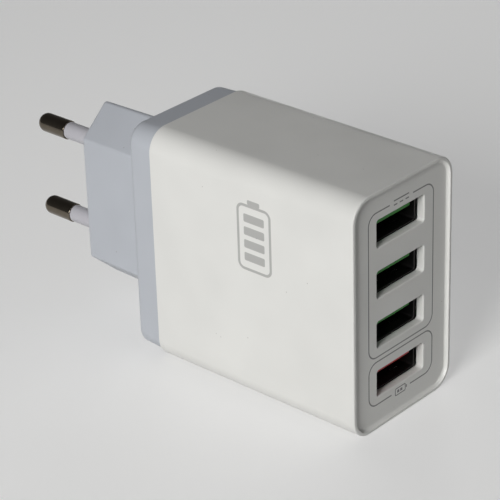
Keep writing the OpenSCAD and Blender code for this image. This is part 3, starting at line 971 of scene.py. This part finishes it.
@dataclass
class FrontShell:
    """White front shell with its recessed panel and four cut-outs.

    The foot margin is how far inside the foot of the rim's slope the parts of the panel begin.
    """

    housing: Housing
    rim_round: float = 0.3
    rim_width: float = 1.32
    rim_slope: float = 0.6
    rim_depth: float = 0.7
    panel: float = 1.7
    ports: int = 4
    pitch: float = 10.4
    port_width: float = 13.9
    port_height: float = 5.6
    port_corner: float = 0.6
    port_edge: float = 0.22
    mouth_round: float = 0.15
    seam_round: float = 0.3
    foot_margin: float = 0.08
    print_middle: float = 0.15
    border_half: float = 9.52
    border_corner: float = 2.2
    border_line: float = 0.27
    badge_depth: float = 23.5
    badge_bars: int = 4
    side_steps: int = 4
    top_steps: int = 11

    def port_height_at(self, k: int) -> float:
        """Z of cut-out k's middle, counted from the lowest."""
        return self.housing.middle + (k - (self.ports - 1) / 2) * self.pitch

    def breaks(self) -> list[float]:
        """Splits the panel into one part for each cut-out.

        Returns:
            Heights at which the parts meet, with both ends.
        """
        inner = [self.housing.middle + (k - self.ports / 2) * self.pitch for k in range(1, self.ports)]
        return [self.housing.low, *inner, self.housing.high]

    def outline(self) -> Loop:
        """Outline of the housing, sampled so that it meets the panel's parts point for point.

        Returns:
            The outline, whose reach is the corner radius.
        """
        h, m, c = self.housing, self.side_steps, self.housing.corner_steps
        marks = self.breaks()
        rise = [line((h.half, marks[0]), (h.half, marks[1]), 0, m)]
        for low, high in zip(marks[1:], marks[2:]):
            rise += [sample(h.half, low), line((h.half, low), (h.half, high), 0, m)]
        right = join(*rise)
        left = Loop(right.base[::-1] * [-1, 1], right.out[::-1] * [-1, 1])
        return join(
            arc((h.half, h.low), -90, 0, c), right, arc((h.half, h.high), 0, 90, c),
            line((h.half, h.high), (-h.half, h.high), 90, self.top_steps), arc((-h.half, h.high), 90, 180, c),
            left, arc((-h.half, h.low), 180, 270, c),
            line((-h.half, h.low), (h.half, h.low), 270, self.top_steps),
        )

    def corner(self, side: int, height: float, start: float, round_corner: bool) -> Loop:
        """Corner of a part of the panel.

        Args:
            side: 1 on the right and -1 on the left.
            height: Z of the corner's centre.
            start: first angle in degrees.
            round_corner: whether it is one of the housing's own round corners.

        Returns:
            A quarter arc, or else as many samples in one place that all face sideways.
        """
        centre, count = (side * self.housing.half, height), self.housing.corner_steps
        if round_corner:
            return arc(centre, start, start + 90, count)
        return Loop(np.tile([centre], (count, 1)), np.tile([[float(side), 0.0]], (count, 1)))

    def part_outline(self, k: int) -> Loop:
        """Outline of the panel's part round a cut-out: its corners are arcs only on the housing's own.

        Args:
            k: number of the cut-out, counted from the lowest.

        Returns:
            The outline, whose reach is the housing's corner radius.
        """
        h, m, p = self.housing, self.side_steps, self.top_steps
        low, high = self.breaks()[k : k + 2]
        first, last = k == 0, k == self.ports - 1
        top = line((h.half, high), (-h.half, high), 90, p) if last else level(h.half, high, 1, -1, p)
        foot = line((-h.half, low), (h.half, low), 270, p) if first else level(h.half, low, -1, 1, p)
        return join(
            self.corner(1, low, -90, first), line((h.half, low), (h.half, high), 0, m),
            self.corner(1, high, 0, last), top, self.corner(-1, high, 90, last),
            line((-h.half, high), (-h.half, low), 180, m), self.corner(-1, low, 180, first), foot,
        )

    def port_outline(self, k: int) -> Loop:
        """Outline of a cut-out.

        Args:
            k: number of the cut-out, counted from the lowest.

        Returns:
            The outline, whose reach is its corner radius.
        """
        m, c, p = self.side_steps, self.housing.corner_steps, self.top_steps
        x, z = self.port_width / 2 - self.port_corner, self.port_height / 2 - self.port_corner
        low, high = self.port_height_at(k) - z, self.port_height_at(k) + z
        return join(
            arc((x, low), -90, 0, c), line((x, low), (x, high), 0, m), arc((x, high), 0, 90, c),
            line((x, high), (-x, high), 90, p), arc((-x, high), 90, 180, c),
            line((-x, high), (-x, low), 180, m), arc((-x, low), 180, 270, c),
            line((-x, low), (x, low), 270, p),
        )

    def dish(self) -> np.ndarray:
        """Hollow slope from the rim to the panel: part of an ellipse, steep at the rim and level at its foot.

        Returns:
            Rows of reach and depth.
        """
        turn = np.radians(np.linspace(25, 90, 12))
        share = np.cos(turn) / np.cos(turn[0])
        fall = (np.sin(turn) - np.sin(turn[0])) / (1 - np.sin(turn[0]))
        foot = self.housing.corner - self.rim_width
        slope = np.stack([foot + self.rim_slope * share, self.rim_depth * fall], -1)
        slope[0] = (slope[0, 0] + 0.03, 0.0)
        return slope

    def mesh(self) -> bpy.types.Mesh:
        """Section from the back of the panel round the open rear edge to the panel's front, then the panel.

        Returns:
            The shell's mesh.
        """
        h = self.housing
        skin = Skin(h.front)
        face, back = self.rim_depth, self.rim_depth + self.panel
        inner, foot = h.corner - h.wall, h.corner - self.rim_width - self.foot_margin
        mouth, seam, rim = self.mouth_round, self.seam_round, self.rim_round
        skin.add(carry(self.outline(), rows(
            [(inner, back), (inner, back + 0.4), (inner, h.length - 0.5)],
            bend(inner + mouth, h.length - mouth, mouth, 180, 90, 3),
            bend(h.corner - seam, h.length - seam, seam, 90, 0, 6),
            [(h.corner, h.length - 0.7), (h.corner, h.length / 2), (h.corner, rim + 0.5)],
            bend(h.corner - rim, rim, rim, 0, -90, 9),
            self.dish(),
            [(foot, face)],
        )))
        r, e = self.port_corner, self.port_edge
        for k in range(self.ports):
            edge = self.part_outline(k)
            skin.add(
                carry(edge, rows([(foot, face)])),
                carry(self.port_outline(k), rows(
                    [(r + e + 0.25, face), (r + e + 0.05, face)],
                    bend(r + e, face + e, e, 270, 180, 6),
                    [(r, face + e + 0.2), (r, back - 0.2), (r + 0.1, back), (r + 0.3, back)],
                )),
                carry(edge, rows([(inner, back)])),
            )
        return skin.mesh("front_shell_skin")

    def marks(self) -> dict[str, tuple[Printed, ...]]:
        """Printed lines round the sockets, the breaks in them and the plain signs that fill those.

        Returns:
            Shapes for the finish, by the name of its field.
        """
        x, half, corner, pen = self.print_middle, self.border_half, self.border_corner, self.border_line
        upper, lower = Printed(x, 29.85, half, 14.9, corner, pen), Printed(x, 9.35, half, 4.6, corner, pen)
        top, foot = upper.up + upper.half_height, lower.up - lower.half_height
        dashes = tuple(Printed(x + s * 1.7, top - 0.42, 0.5, 0.13, 0.05) for s in (-1, 0, 1))
        cell = (
            Printed(0.0, foot, 1.5, 0.72, 0.25, 0.22), Printed(1.85, foot, 0.15, 0.3, 0.05),
            Printed(-0.62, foot, 0.32, 0.3, 0.05), Printed(0.3, foot, 0.32, 0.3, 0.05),
        )
        y = self.badge_depth
        bars = tuple(Printed(y, 31.0 + 2.67 * k, 2.5, 0.85, 0.3) for k in range(self.badge_bars))
        return {
            "borders": (upper, lower),
            "breaks": (Printed(x, top, 3.4, 1.0, 0.05), Printed(x, foot, 2.8, 1.0, 0.05)),
            "symbols": (Printed(x, top + 0.42, 2.2, 0.13, 0.05), *dashes, *cell),
            "badge": (Printed(y, 35.0, 3.9, 6.6, 1.3, 0.55), Printed(y, 42.35, 1.5, 0.5, 0.3), *bars),
        }

    def build(self) -> bpy.types.Object:
        """Makes and dresses the shell.

        Returns:
            The piece.
        """
        finish = ShellPlastic(
            "shell_plastic", srgb(226, 226, 223), roughness=0.4, dust=srgb(150, 148, 144),
            front=self.housing.front, side=-self.housing.width / 2, **self.marks(),
        )
        piece = put("front_shell_skin", self.mesh(), "shell_white", finish.material(), "front_shell")
        even_normals(piece)
        return piece


@dataclass
class RearCover:
    """Collar behind the seam with the six-sided plug block, both hollow.

    The hollow's flat and tip sizes say how much nearer the middle its corners' centres lie than the
    end of the block's flat and its tip.
    """

    housing: Housing
    step: float = 0.45
    length: float = 6.0
    draft: float = 0.2
    edge: float = 1.0
    plate: float = 2.0
    spigot: float = 4.0
    block_length: float = 20.3
    block_width: float = 13.8
    block_flat: float = 25.6
    block_height: float = 38.0
    block_draft: float = 0.4
    block_edge: float = 0.8
    face_edge: float = 0.6
    root_fillet: float = 0.5
    block_wall: float = 1.8
    pin_pitch: float = 19.0
    bore: float = 1.9
    neck_bore: float = 1.5
    boss: float = 3.4
    boss_length: float = 6.0
    seat: float = 3.0
    fit_gap: float = 0.15
    spigot_wall: float = 1.4
    shoulder: float = 1.0
    joint: float = 0.02
    joint_round: float = 0.12
    hollow_round: float = 0.3
    hollow_flat: float = 0.6
    hollow_tip: float = 2.6
    bore_round: float = 0.2
    slant_end: float = 1.0
    apex_half: float = 1.3
    flat_steps: int = 8
    slant_steps: int = 5
    apex_steps: int = 11

    @property
    def collar_end(self) -> float:
        """Depth of the collar's rear face."""
        return self.housing.length + self.length

    @property
    def pin_face(self) -> float:
        """Depth of the face that the pins leave."""
        return self.collar_end + self.block_length

    def collar_loop(self) -> Loop:
        """Housing's outline, sampled in step with the block's.

        Returns:
            The outline, whose reach is the corner radius.
        """
        h, m, s, c = self.housing, self.flat_steps, self.slant_steps, self.housing.corner_steps
        slant, apex = self.slant_end, self.apex_half
        upper = join(
            sample(h.half, h.middle), line((h.half, h.middle), (h.half, h.high), 0, m),
            arc((h.half, h.high), 0, 90, c), line((h.half, h.high), (slant, h.high), 90, s),
            line((apex, h.high), (-apex, h.high), 90, self.apex_steps),
            line((-slant, h.high), (-h.half, h.high), 90, s), arc((-h.half, h.high), 90, 180, c),
            line((-h.half, h.high), (-h.half, h.middle), 180, m),
        )
        return self._with_lower_half(upper)

    def block_loop(self, half_width: float, half_flat: float, half_height: float) -> Loop:
        """Six-sided outline: three corner centres on each side of the middle height, joined by straights.

        Args:
            half_width: X of the side corners' centres.
            half_flat: Z of those centres from the middle.
            half_height: Z of the end corners' centres from the middle.

        Returns:
            The outline, whose reach is the corner radius.
        """
        h, m, s, c = self.housing, self.flat_steps, self.slant_steps, self.housing.corner_steps
        z, top = h.middle + half_flat, h.middle + half_height
        lean = math.degrees(math.atan2(half_width, half_height - half_flat))
        upper = join(
            sample(half_width, h.middle), line((half_width, h.middle), (half_width, z), 0, m),
            arc((half_width, z), 0, lean, c),
            line((half_width, z), (0, top), lean, s), arc((0, top), lean, 180 - lean, self.apex_steps),
            line((0, top), (-half_width, z), 180 - lean, s), arc((-half_width, z), 180 - lean, 180, c),
            line((-half_width, z), (-half_width, h.middle), 180, m),
        )
        return self._with_lower_half(upper)

    def _with_lower_half(self, upper: Loop) -> Loop:
        """Adds the lower half as the upper one turned half round about the middle."""
        pivot = np.array([0.0, 2 * self.housing.middle])
        return join(upper, Loop(pivot - upper.base, -upper.out))

    def mesh(self) -> bpy.types.Mesh:
        """Cover from the end of its hollow, round spigot, collar and block, to the pin face and its bores.

        Returns:
            The cover's mesh.
        """
        h, skin = self.housing, Skin(self.housing.front)
        collar = self.collar_loop()
        half_w, flat = self.block_width / 2, self.block_flat / 2
        edge, grow, fillet, soft = self.block_edge, self.block_draft, self.root_fillet, self.face_edge
        block = self.block_loop(half_w - edge, flat, self.block_height / 2 - edge)
        cavity = self.hollow_round
        hollow = self.block_loop(
            half_w - self.block_wall - cavity, flat - self.hollow_flat,
            self.block_height / 2 - self.hollow_tip,
        )
        end, face, inside = self.collar_end, self.pin_face, self.collar_end - self.plate
        hollow_end = face - self.block_wall
        outer, spigot = h.corner - self.step, h.corner - h.wall - self.fit_gap
        rear, inner = outer - self.draft, spigot - self.spigot_wall
        tip, shoulder, joint = h.length - self.spigot, h.length + self.shoulder, h.length - self.joint
        lip = self.joint_round
        skin.add(
            carry(hollow, rows([(cavity, hollow_end), (cavity + grow, inside)])),
            carry(collar, rows(
                [(outer - h.wall, inside), (outer - h.wall, shoulder), (inner, shoulder), (inner, tip),
                 (spigot, tip), (spigot, joint), (outer - 0.6, joint)],
                bend(outer - lip, joint + lip, lip, 270, 360, 3),
                [(outer, h.length + 0.5), (rear + 0.02, end - self.edge - 0.4)],
                bend(rear - self.edge, end - self.edge, self.edge, 0, 90, 10),
                [(rear - self.edge - 0.4, end)],
            )),
            carry(block, rows(
                [(edge + grow + fillet + 0.3, end)],
                bend(edge + grow + fillet, end + fillet, fillet, 270, 180, 6),
                [(edge + grow - 0.02, end + fillet + 0.5), (edge + 0.02, face - soft - 0.5)],
                bend(edge - soft, face - soft, soft, 0, 90, 8),
            )),
        )
        for side in (0, 1):
            rim = self._closed_half(block, side)
            skin.add(
                carry(rim, rows([(edge - soft, face)])),
                self.bore_wall(side, rim.points(edge - soft), face, hollow_end),
                carry(self._closed_half(hollow, side), rows([(cavity, hollow_end)])),
            )
        return skin.mesh("rear_cover_skin")

    def bore_wall(self, side: int, rim: np.ndarray, face: float, hollow_end: float) -> np.ndarray:
        """Bore and boss of a pin: a profile carried round its axis in the directions of the rim's points.

        Args:
            side: 0 for the upper pin and 1 for the lower one.
            rim: points in X and Z round the pin's half of the face.
            face: depth of the face.
            hollow_end: depth at which the hollow ends.

        Returns:
            Grid of points from the mouth of the bore to the foot of the boss.
        """
        centre = np.array([0.0, self.housing.middle + (0.5 - side) * self.pin_pitch])
        aim = rim - centre
        hole = Loop(np.tile(centre, (len(aim), 1)), aim / np.linalg.norm(aim, axis=1, keepdims=True))
        bore, seat, foot, edge = self.bore, face - self.seat, face - self.boss_length, self.bore_round
        return carry(hole, rows(
            [(bore + 0.8, face), (bore + 0.3, face)],
            bend(bore + edge, face - edge, edge, 90, 180, 5),
            [(bore, face - 0.5), (bore, seat), (self.neck_bore, seat), (self.neck_bore, foot),
             (self.boss, foot), (self.boss, hollow_end)],
        ))

    def _closed_half(self, loop: Loop, side: int) -> Loop:
        """Half of an outline, closed along the middle height.

        Args:
            loop: the whole outline, which starts at its right end on the middle height.
            side: 0 for the upper half and 1 for the lower one.

        Returns:
            The closed half.
        """
        sign = 1.0 if side == 0 else -1.0
        half = len(loop.base) // 2
        across = level(abs(loop.base[0, 0]), self.housing.middle, -sign, sign, 9)
        return join(loop.part(side * half, (side + 1) * half + 1), across)

    def build(self) -> bpy.types.Object:
        """Makes and dresses the cover.

        Returns:
            The piece.
        """
        white, dust = srgb(186, 190, 197), srgb(120, 118, 116)
        finish = Plastic("cover_plastic", white, roughness=0.44, grain=0.26, dust=dust)
        piece = put("rear_cover_skin", self.mesh(), "cover_white", finish.material(), "rear_cover")
        even_normals(piece)
        return piece


@dataclass
class Plug:
    """Two nickel-plated pins in their insulating sleeves."""

    cover: RearCover
    pin_radius: float = 2.0
    neck: float = 1.4
    sleeve_radius: float = 1.8
    sleeve_out: float = 10.9
    reach: float = 19.0
    dome: float = 1.8
    step_round: float = 0.12
    flange_radius: float = 2.5
    flange_length: float = 1.2
    tail_radius: float = 1.2
    tail_length: float = 4.0
    chamfer: float = 0.1
    sleeve_round: float = 0.18
    sleeve_gap: float = 0.1
    around: int = 64

    def circle(self, side: int) -> Loop:
        """Circle round the upper (0) or lower (1) pin's axis."""
        z = self.cover.housing.middle + (0.5 - side) * self.cover.pin_pitch
        return arc((0.0, z), 0, 360 * (1 - 1 / self.around), self.around)

    def turned(self, side: int, profile: np.ndarray, name: str) -> bpy.types.Mesh:
        """Closed shape turned about a pin's axis.

        Args:
            side: 0 for the upper pin and 1 for the lower one.
            profile: rows of radius and depth.
            name: what the shape is.

        Returns:
            Its mesh.
        """
        skin = Skin(self.cover.housing.front)
        skin.add(carry(self.circle(side), profile))
        return skin.mesh(f"{name}_skin_{side + 1}")

    def pin(self, side: int) -> bpy.types.Mesh:
        """Turned pin: tail, flange, neck under the sleeve, and a bare end with a domed tip.

        Args:
            side: 0 for the upper pin and 1 for the lower one.

        Returns:
            The pin's mesh.
        """
        face, r, c = self.cover.pin_face, self.pin_radius, self.chamfer
        tip, start = face + self.reach, face + self.sleeve_out
        seat = face - self.cover.boss_length
        flange, tail_end = seat - self.flange_length, seat - self.flange_length - self.tail_length
        wide, thin, dome, shoulder = self.flange_radius, self.tail_radius, self.dome, self.step_round
        return self.turned(side, rows(
            [(0.0, tail_end), (thin - 2 * c, tail_end), (thin, tail_end + 2 * c), (thin, flange),
             (wide - c, flange), (wide, flange + c), (wide, seat - c), (wide - c, seat), (self.neck, seat),
             (self.neck, start)],
            bend(r - shoulder, start + shoulder, shoulder, 270, 360, 4),
            [(r, start + 0.4), (r, tip - dome - 0.5)],
            bend(r - dome, tip - dome, dome, 0, 90, 14),
            [(0.0, tip)],
        ), "pin")

    def sleeve(self, side: int) -> bpy.types.Mesh:
        """Moulded tube with a soft outer end.

        Args:
            side: 0 for the upper pin and 1 for the lower one.

        Returns:
            The sleeve's mesh.
        """
        face, r, soft = self.cover.pin_face, self.sleeve_radius, self.sleeve_round
        back, end, inner = face - self.cover.seat, face + self.sleeve_out, self.neck + self.sleeve_gap
        return self.turned(side, rows(
            [(inner, back), (r, back), (r, face + 0.3), (r, end - 0.5)],
            bend(r - soft, end - soft, soft, 0, 90, 5),
            [(inner, end), (inner, back)],
        ), "sleeve")

    def build(self) -> None:
        """Makes and dresses both pins and both sleeves; the pins' colour is a dark brownish grey, a painted
        reflection of dark surroundings.
        """
        # Painted reflection: the pins' colour is far darker and browner than plated nickel and stands in for
        # the dark surroundings they mirror.
        nickel = Metal("pin_nickel_painted_dark", srgb(122, 114, 102), 0.15, Lay.TURNED, pitch=0.2, depth=0.001).material()
        white = Plastic("sleeve_plastic", srgb(188, 187, 193), roughness=0.38, grain=0.3).material()
        for side, name in enumerate(("upper", "lower")):
            put(f"pin_{name}_skin", self.pin(side), "pin_metal", nickel, f"pin_{name}")
            put(f"sleeve_{name}_skin", self.sleeve(side), "sleeve_white", white, f"sleeve_{name}")


@dataclass
class Insides:
    """Sockets, boards and power parts: the CAD shapes with eased edges and a finish each.

    A size that ends in edge is the width of an eased edge. One that ends in leads says how far above
    the main board's face the bare leads of a part end.
    """

    board_edge: float = 0.04
    sheet_edge: float = 0.05
    strip_edge: float = 0.08
    part_edge: float = 0.1
    can_edge: float = 0.12
    core_edge: float = 0.15
    ease_angle: float = 35.0
    can_leads: float = 0.02
    package_leads: float = 0.25
    disc_leads: float = 0.62
    resistor_leads: float = 0.05

    @property
    def board_face(self) -> float:
        """X of the main board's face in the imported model's frame."""
        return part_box("main_board")[1].x / MM

    def eased(
        self, node: str, slot: str, material: bpy.types.Material, width: float, flatten: bool = True
    ) -> bpy.types.Object:
        """Copy of a CAD node, welded and with its edges eased.

        Args:
            node: the CAD node, which the copy stands for.
            slot: the record's material slot; passed on to put, which does not use it.
            material: its finish.
            width: width of the eased edge in millimetres.
            flatten: whether the flats are first made of as few faces as can be.

        Returns:
            The new piece.
        """
        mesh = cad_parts[node].data.copy()
        mesh.name = f"{node}_eased"
        weld(mesh, turn_out=False, flatten=flatten)
        piece = put(f"{node}_eased", mesh, slot, material, node)
        ease = piece.modifiers.new("eased_edges", "BEVEL")
        ease.width = width * MM
        ease.segments = 2
        ease.limit_method = "ANGLE"
        ease.angle_limit = math.radians(self.ease_angle)
        ease.miter_outer = "MITER_ARC"
        merge = piece.modifiers.new("joined_points", "WELD")
        merge.merge_threshold = WELD
        even_normals(piece)
        return piece

    def sockets(self) -> None:
        """Four receptacles: nickel-plated shell whose colour is painted near black as painted shade of the
        socket mouths, coloured tongue and gilt contacts.
        """
        # Painted shade: the shell's steel colour is near black, far darker than plated steel, so that the
        # socket mouths look dark and the shell's front edges show little highlight.
        steel = Metal("socket_steel", srgb(64, 64, 63), 0.45, pitch=0.2).material()
        gilt = Metal("contact_gilt", srgb(214, 178, 96), 0.25, pitch=0.15).material()
        green, orange = (
            Plastic(f"tongue_{name}", colour, roughness=0.45, grain=0.3, mottle=0.08).material()
            for name, colour in (("green", srgb(26, 138, 18)), ("orange", srgb(204, 34, 26)))
        )
        tongues = [("tongue_green", green)] * 3 + [("tongue_orange", orange)]
        for k, (slot, plastic) in enumerate(tongues, 1):
            self.eased(f"socket_shell_{k}", "socket_steel", steel, self.sheet_edge)
            self.eased(f"socket_tongue_{k}", slot, plastic, self.part_edge)
            self.eased(f"socket_contacts_{k}", "contact_brass", gilt, self.sheet_edge)

    def boards(self) -> None:
        """Main board, socket board, the header between them and the film behind the main board."""
        board = Laminate("board_lacquer", srgb(20, 84, 42), srgb(52, 128, 62)).material()
        self.eased("main_board", "board_green", board, self.board_edge)
        self.eased("usb_board", "board_green", board, self.board_edge, flatten=False)
        header = Component("header_plastic", srgb(30, 30, 32), leads_below=self.board_face).material()
        self.eased("board_header", "package_black", header, self.strip_edge)
        film = Film("insulation_film", srgb(232, 212, 150), 0.55).material()
        self.eased("insulation_sheet", "clear_film", film, self.sheet_edge)
        brass = Metal("strip_brass", srgb(206, 172, 98), 0.3).material()
        self.eased("contact_upper", "contact_brass", brass, self.strip_edge)
        self.eased("contact_lower", "contact_brass", brass, self.strip_edge)

    def transformer(self) -> None:
        """Ferrite core, bobbin and taped winding, and the choke beside them."""
        ferrite = Component("ferrite", srgb(52, 52, 55), 0.62, grain=0.18).material()
        bobbin = Component("bobbin_plastic", srgb(28, 28, 30), 0.45).material()
        tape = Wound("winding_tape", srgb(226, 186, 60), 2.0).material()
        wire = Wound("copper_wire", srgb(196, 98, 50), 0.5, 0.28, 1.0).material()
        self.eased("transformer_core", "ferrite", ferrite, self.core_edge)
        self.eased("transformer_bobbin", "package_black", bobbin, self.strip_edge)
        self.eased("transformer_winding", "winding_tape", tape, self.part_edge)
        self.eased("choke_core", "ferrite", ferrite, self.core_edge)
        self.eased("choke_winding", "copper_wire", wire, self.part_edge)

    def capacitors(self) -> None:
        """Four cans in shrunk sleeves with a pale stripe, and the disc capacitor."""
        looks = {
            "input": ("capacitor_dark", srgb(34, 36, 66), srgb(176, 178, 190)),
            "output": ("capacitor_green", srgb(24, 76, 52), srgb(190, 186, 140)),
        }
        for kind, (slot, sleeve, stripe) in looks.items():
            for k in (1, 2):
                node = f"{kind}_capacitor_{k}"
                low, high = (np.array(v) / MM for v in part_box(node))
                y, z = (low[1:] + high[1:]) / 2
                can = Can(stripe, (y, z), top=high[0], radius=(high[1] - low[1]) / 2)
                leads = self.board_face + self.can_leads
                finish = Component(f"{kind}_sleeve_{k}", sleeve, 0.28, leads, grain=0.6, can=can)
                self.eased(node, slot, finish.material(), self.can_edge)
        leads = self.board_face + self.disc_leads
        disc = Component("disc_epoxy", srgb(40, 84, 160), 0.35, leads, grain=0.5).material()
        self.eased("safety_capacitor", "capacitor_blue", disc, self.core_edge)

    def small_parts(self) -> None:
        """Packages, fusible resistor and heat sink."""
        leads = self.board_face + self.package_leads
        black = Component("package_epoxy", srgb(34, 34, 36), 0.55, leads).material()
        chip = Component("chip_epoxy", srgb(34, 34, 36), 0.55).material()
        pale = Component("opto_epoxy", srgb(222, 220, 212), 0.5, leads).material()
        leads = self.board_face + self.resistor_leads
        green = Component("resistor_lacquer", srgb(60, 120, 84), 0.4, leads).material()
        sink = Metal("sink_aluminium", srgb(190, 192, 194), 0.35, Lay.RAISED, pitch=0.3).material()
        for node in ("bridge_rectifier", "output_rectifier"):
            self.eased(node, "package_black", black, self.can_edge)
        for node in ("control_chip", "port_chips"):
            self.eased(node, "package_black", chip, self.sheet_edge)
        self.eased("optocoupler", "package_white", pale, self.part_edge)
        self.eased("fuse_resistor", "resistor_green", green, self.part_edge)
        self.eased("heat_sink", "sink_aluminium", sink, self.part_edge)

    def build(self) -> None:
        """Makes and dresses everything inside the housing."""
        self.sockets()
        self.boards()
        self.transformer()
        self.capacitors()
        self.small_parts()


# Studio


@dataclass(frozen=True)
class Lamp:
    """Soft box: a square area lamp, with a grid that narrows its spread to a number of degrees."""

    name: str
    place: Triple
    size: float
    power: float
    colour: Colour = (1.0, 1.0, 1.0)
    spread: float = 180.0
    mirrored: bool = True

    def build(self, aim: Vector) -> None:
        """Hangs the lamp.

        Args:
            aim: point that it faces, in metres.
        """
        data = bpy.data.lights.new(self.name, "AREA")
        data.shape = "SQUARE"
        data.size = self.size
        data.energy = self.power
        data.color = self.colour
        data.spread = math.radians(self.spread)
        lamp = bpy.data.objects.new(self.name, data)
        lamp.location = self.place
        lamp.visible_glossy = self.mirrored
        lamp.rotation_mode = "QUATERNION"
        lamp.rotation_quaternion = (aim - Vector(self.place)).to_track_quat("-Z", "Y")
        bpy.context.scene.collection.objects.link(lamp)


@dataclass(frozen=True)
class Viewpoint:
    """Camera as worked out from the photograph, in millimetres and degrees.

    The focal length is in pixels of an image that is as wide as the field image says.
    """

    place: Triple = (-286.789, -271.261, 224.294)
    azimuth: float = -47.626
    elevation: float = 27.484
    roll: float = -1.798
    focal: float = 2245.7
    image: int = 500
    sensor: float = 36.0

    def build(self) -> None:
        """Makes the scene's camera."""
        a, e, r = (math.radians(v) for v in (self.azimuth, self.elevation, self.roll))
        back = Vector((math.sin(a) * math.cos(e), -math.cos(a) * math.cos(e), math.sin(e)))
        right = (-back).cross(Vector((0, 0, 1))).normalized()
        up = right.cross(-back)
        turned_right = right * math.cos(r) + up * math.sin(r)
        turned_up = up * math.cos(r) - right * math.sin(r)
        data = bpy.data.cameras.new("view")
        data.sensor_width = self.sensor
        data.lens = self.focal * self.sensor / self.image
        data.clip_start, data.clip_end = 0.01, 20.0
        camera = bpy.data.objects.new("view", data)
        turn = Matrix((turned_right, turned_up, back)).transposed().to_4x4()
        camera.matrix_world = Matrix.Translation(Vector(self.place) * MM) @ turn
        bpy.context.scene.collection.objects.link(camera)
        bpy.context.scene.camera = camera


@dataclass(frozen=True)
class Studio:
    """Pale table, soft lamps and an even surround."""

    table: Colour = srgb(204, 204, 203)
    table_half: float = 3.0
    table_roughness: float = 0.75
    table_lift: float = 0.34
    horizon: float = 0.12
    zenith: float = 0.05
    zenith_height: float = 0.9
    backdrop: float = 0.6
    aim: Triple = (0.0, 0.0, 0.025)
    lamps: tuple[Lamp, ...] = (
        Lamp("window", (-0.6, -0.175, 0.29), 0.28, 0.49, (1.0, 0.995, 0.985), spread=60.0),
        Lamp("shelf", (0.62, -0.45, 0.6), 0.3, 0.2, (0.98, 0.99, 1.0)),
        Lamp("far_wall", (0.9, 0.6, 0.13), 0.28, 0.6, (0.99, 0.995, 1.0), spread=60.0, mirrored=False),
    )

    def table_finish(self) -> bpy.types.Material:
        """Matt white that looks lighter to the camera, in mirrors and through film, but lights nothing.

        Returns:
            The material.
        """
        material = bpy.data.materials.new("table_matt")
        material.use_nodes = True
        graph = Graph(material.node_tree)
        shader = next(n for n in material.node_tree.nodes if n.type == "BSDF_PRINCIPLED")
        graph.feed((*self.table, 1.0), shader.inputs["Base Color"])
        graph.feed(self.table_roughness, shader.inputs["Roughness"])
        graph.feed((1.0, 1.0, 1.0, 1.0), shader.inputs["Emission Color"])
        path = graph.node("ShaderNodeLightPath").outputs
        seen = graph.highest(path["Is Camera Ray"], path["Is Glossy Ray"], path["Is Transmission Ray"])
        graph.feed(graph.math("MULTIPLY", seen, self.table_lift), shader.inputs["Emission Strength"])
        return material

    def lay_table(self) -> None:
        """Lays the square table top."""
        half = self.table_half
        corners = [(-half, -half, 0), (half, -half, 0), (half, half, 0), (-half, half, 0)]
        mesh = bpy.data.meshes.new("table")
        mesh.from_pydata(corners, [], [(0, 1, 2, 3)])
        mesh.materials.append(self.table_finish())
        table = bpy.data.objects.new("table", mesh)
        bpy.context.scene.collection.objects.link(table)

    def surround(self) -> None:
        """Sets the light from all round, which fades upwards; only the camera sees the light backdrop."""
        world = bpy.data.worlds.new("surround")
        world.use_nodes = True
        graph = Graph(world.node_tree)
        backdrop = next(n for n in world.node_tree.nodes if n.type == "BACKGROUND")
        graph.feed((1.0, 1.0, 1.0, 1.0), backdrop.inputs["Color"])
        axes = graph.node("ShaderNodeSeparateXYZ")
        graph.feed(graph.node("ShaderNodeTexCoord").outputs["Generated"], axes.inputs[0])
        height = graph.step(axes.outputs[2], 0.0, self.zenith_height)
        light = graph.total(self.horizon, (height, self.zenith - self.horizon))
        seen = graph.node("ShaderNodeLightPath").outputs["Is Camera Ray"]
        extra = graph.math("MULTIPLY", graph.math("SUBTRACT", self.backdrop, light), seen)
        graph.feed(graph.math("ADD", light, extra), backdrop.inputs["Strength"])
        bpy.context.scene.world = world

    def build(self) -> None:
        """Lays the table, hangs the lamps and sets the surround."""
        self.lay_table()
        for lamp in self.lamps:
            lamp.build(Vector(self.aim))
        self.surround()


def main() -> None:
    """Builds the studio and the charger."""
    logging.basicConfig(level=logging.INFO, format="%(name)s: %(message)s")
    bpy.context.scene.view_settings.view_transform = "Standard"
    Viewpoint().build()
    Studio().build()
    housing = Housing()
    cover = RearCover(housing)
    FrontShell(housing).build()
    cover.build()
    Plug(cover).build()
    Insides().build()


if __name__ == "__main__":
    main()
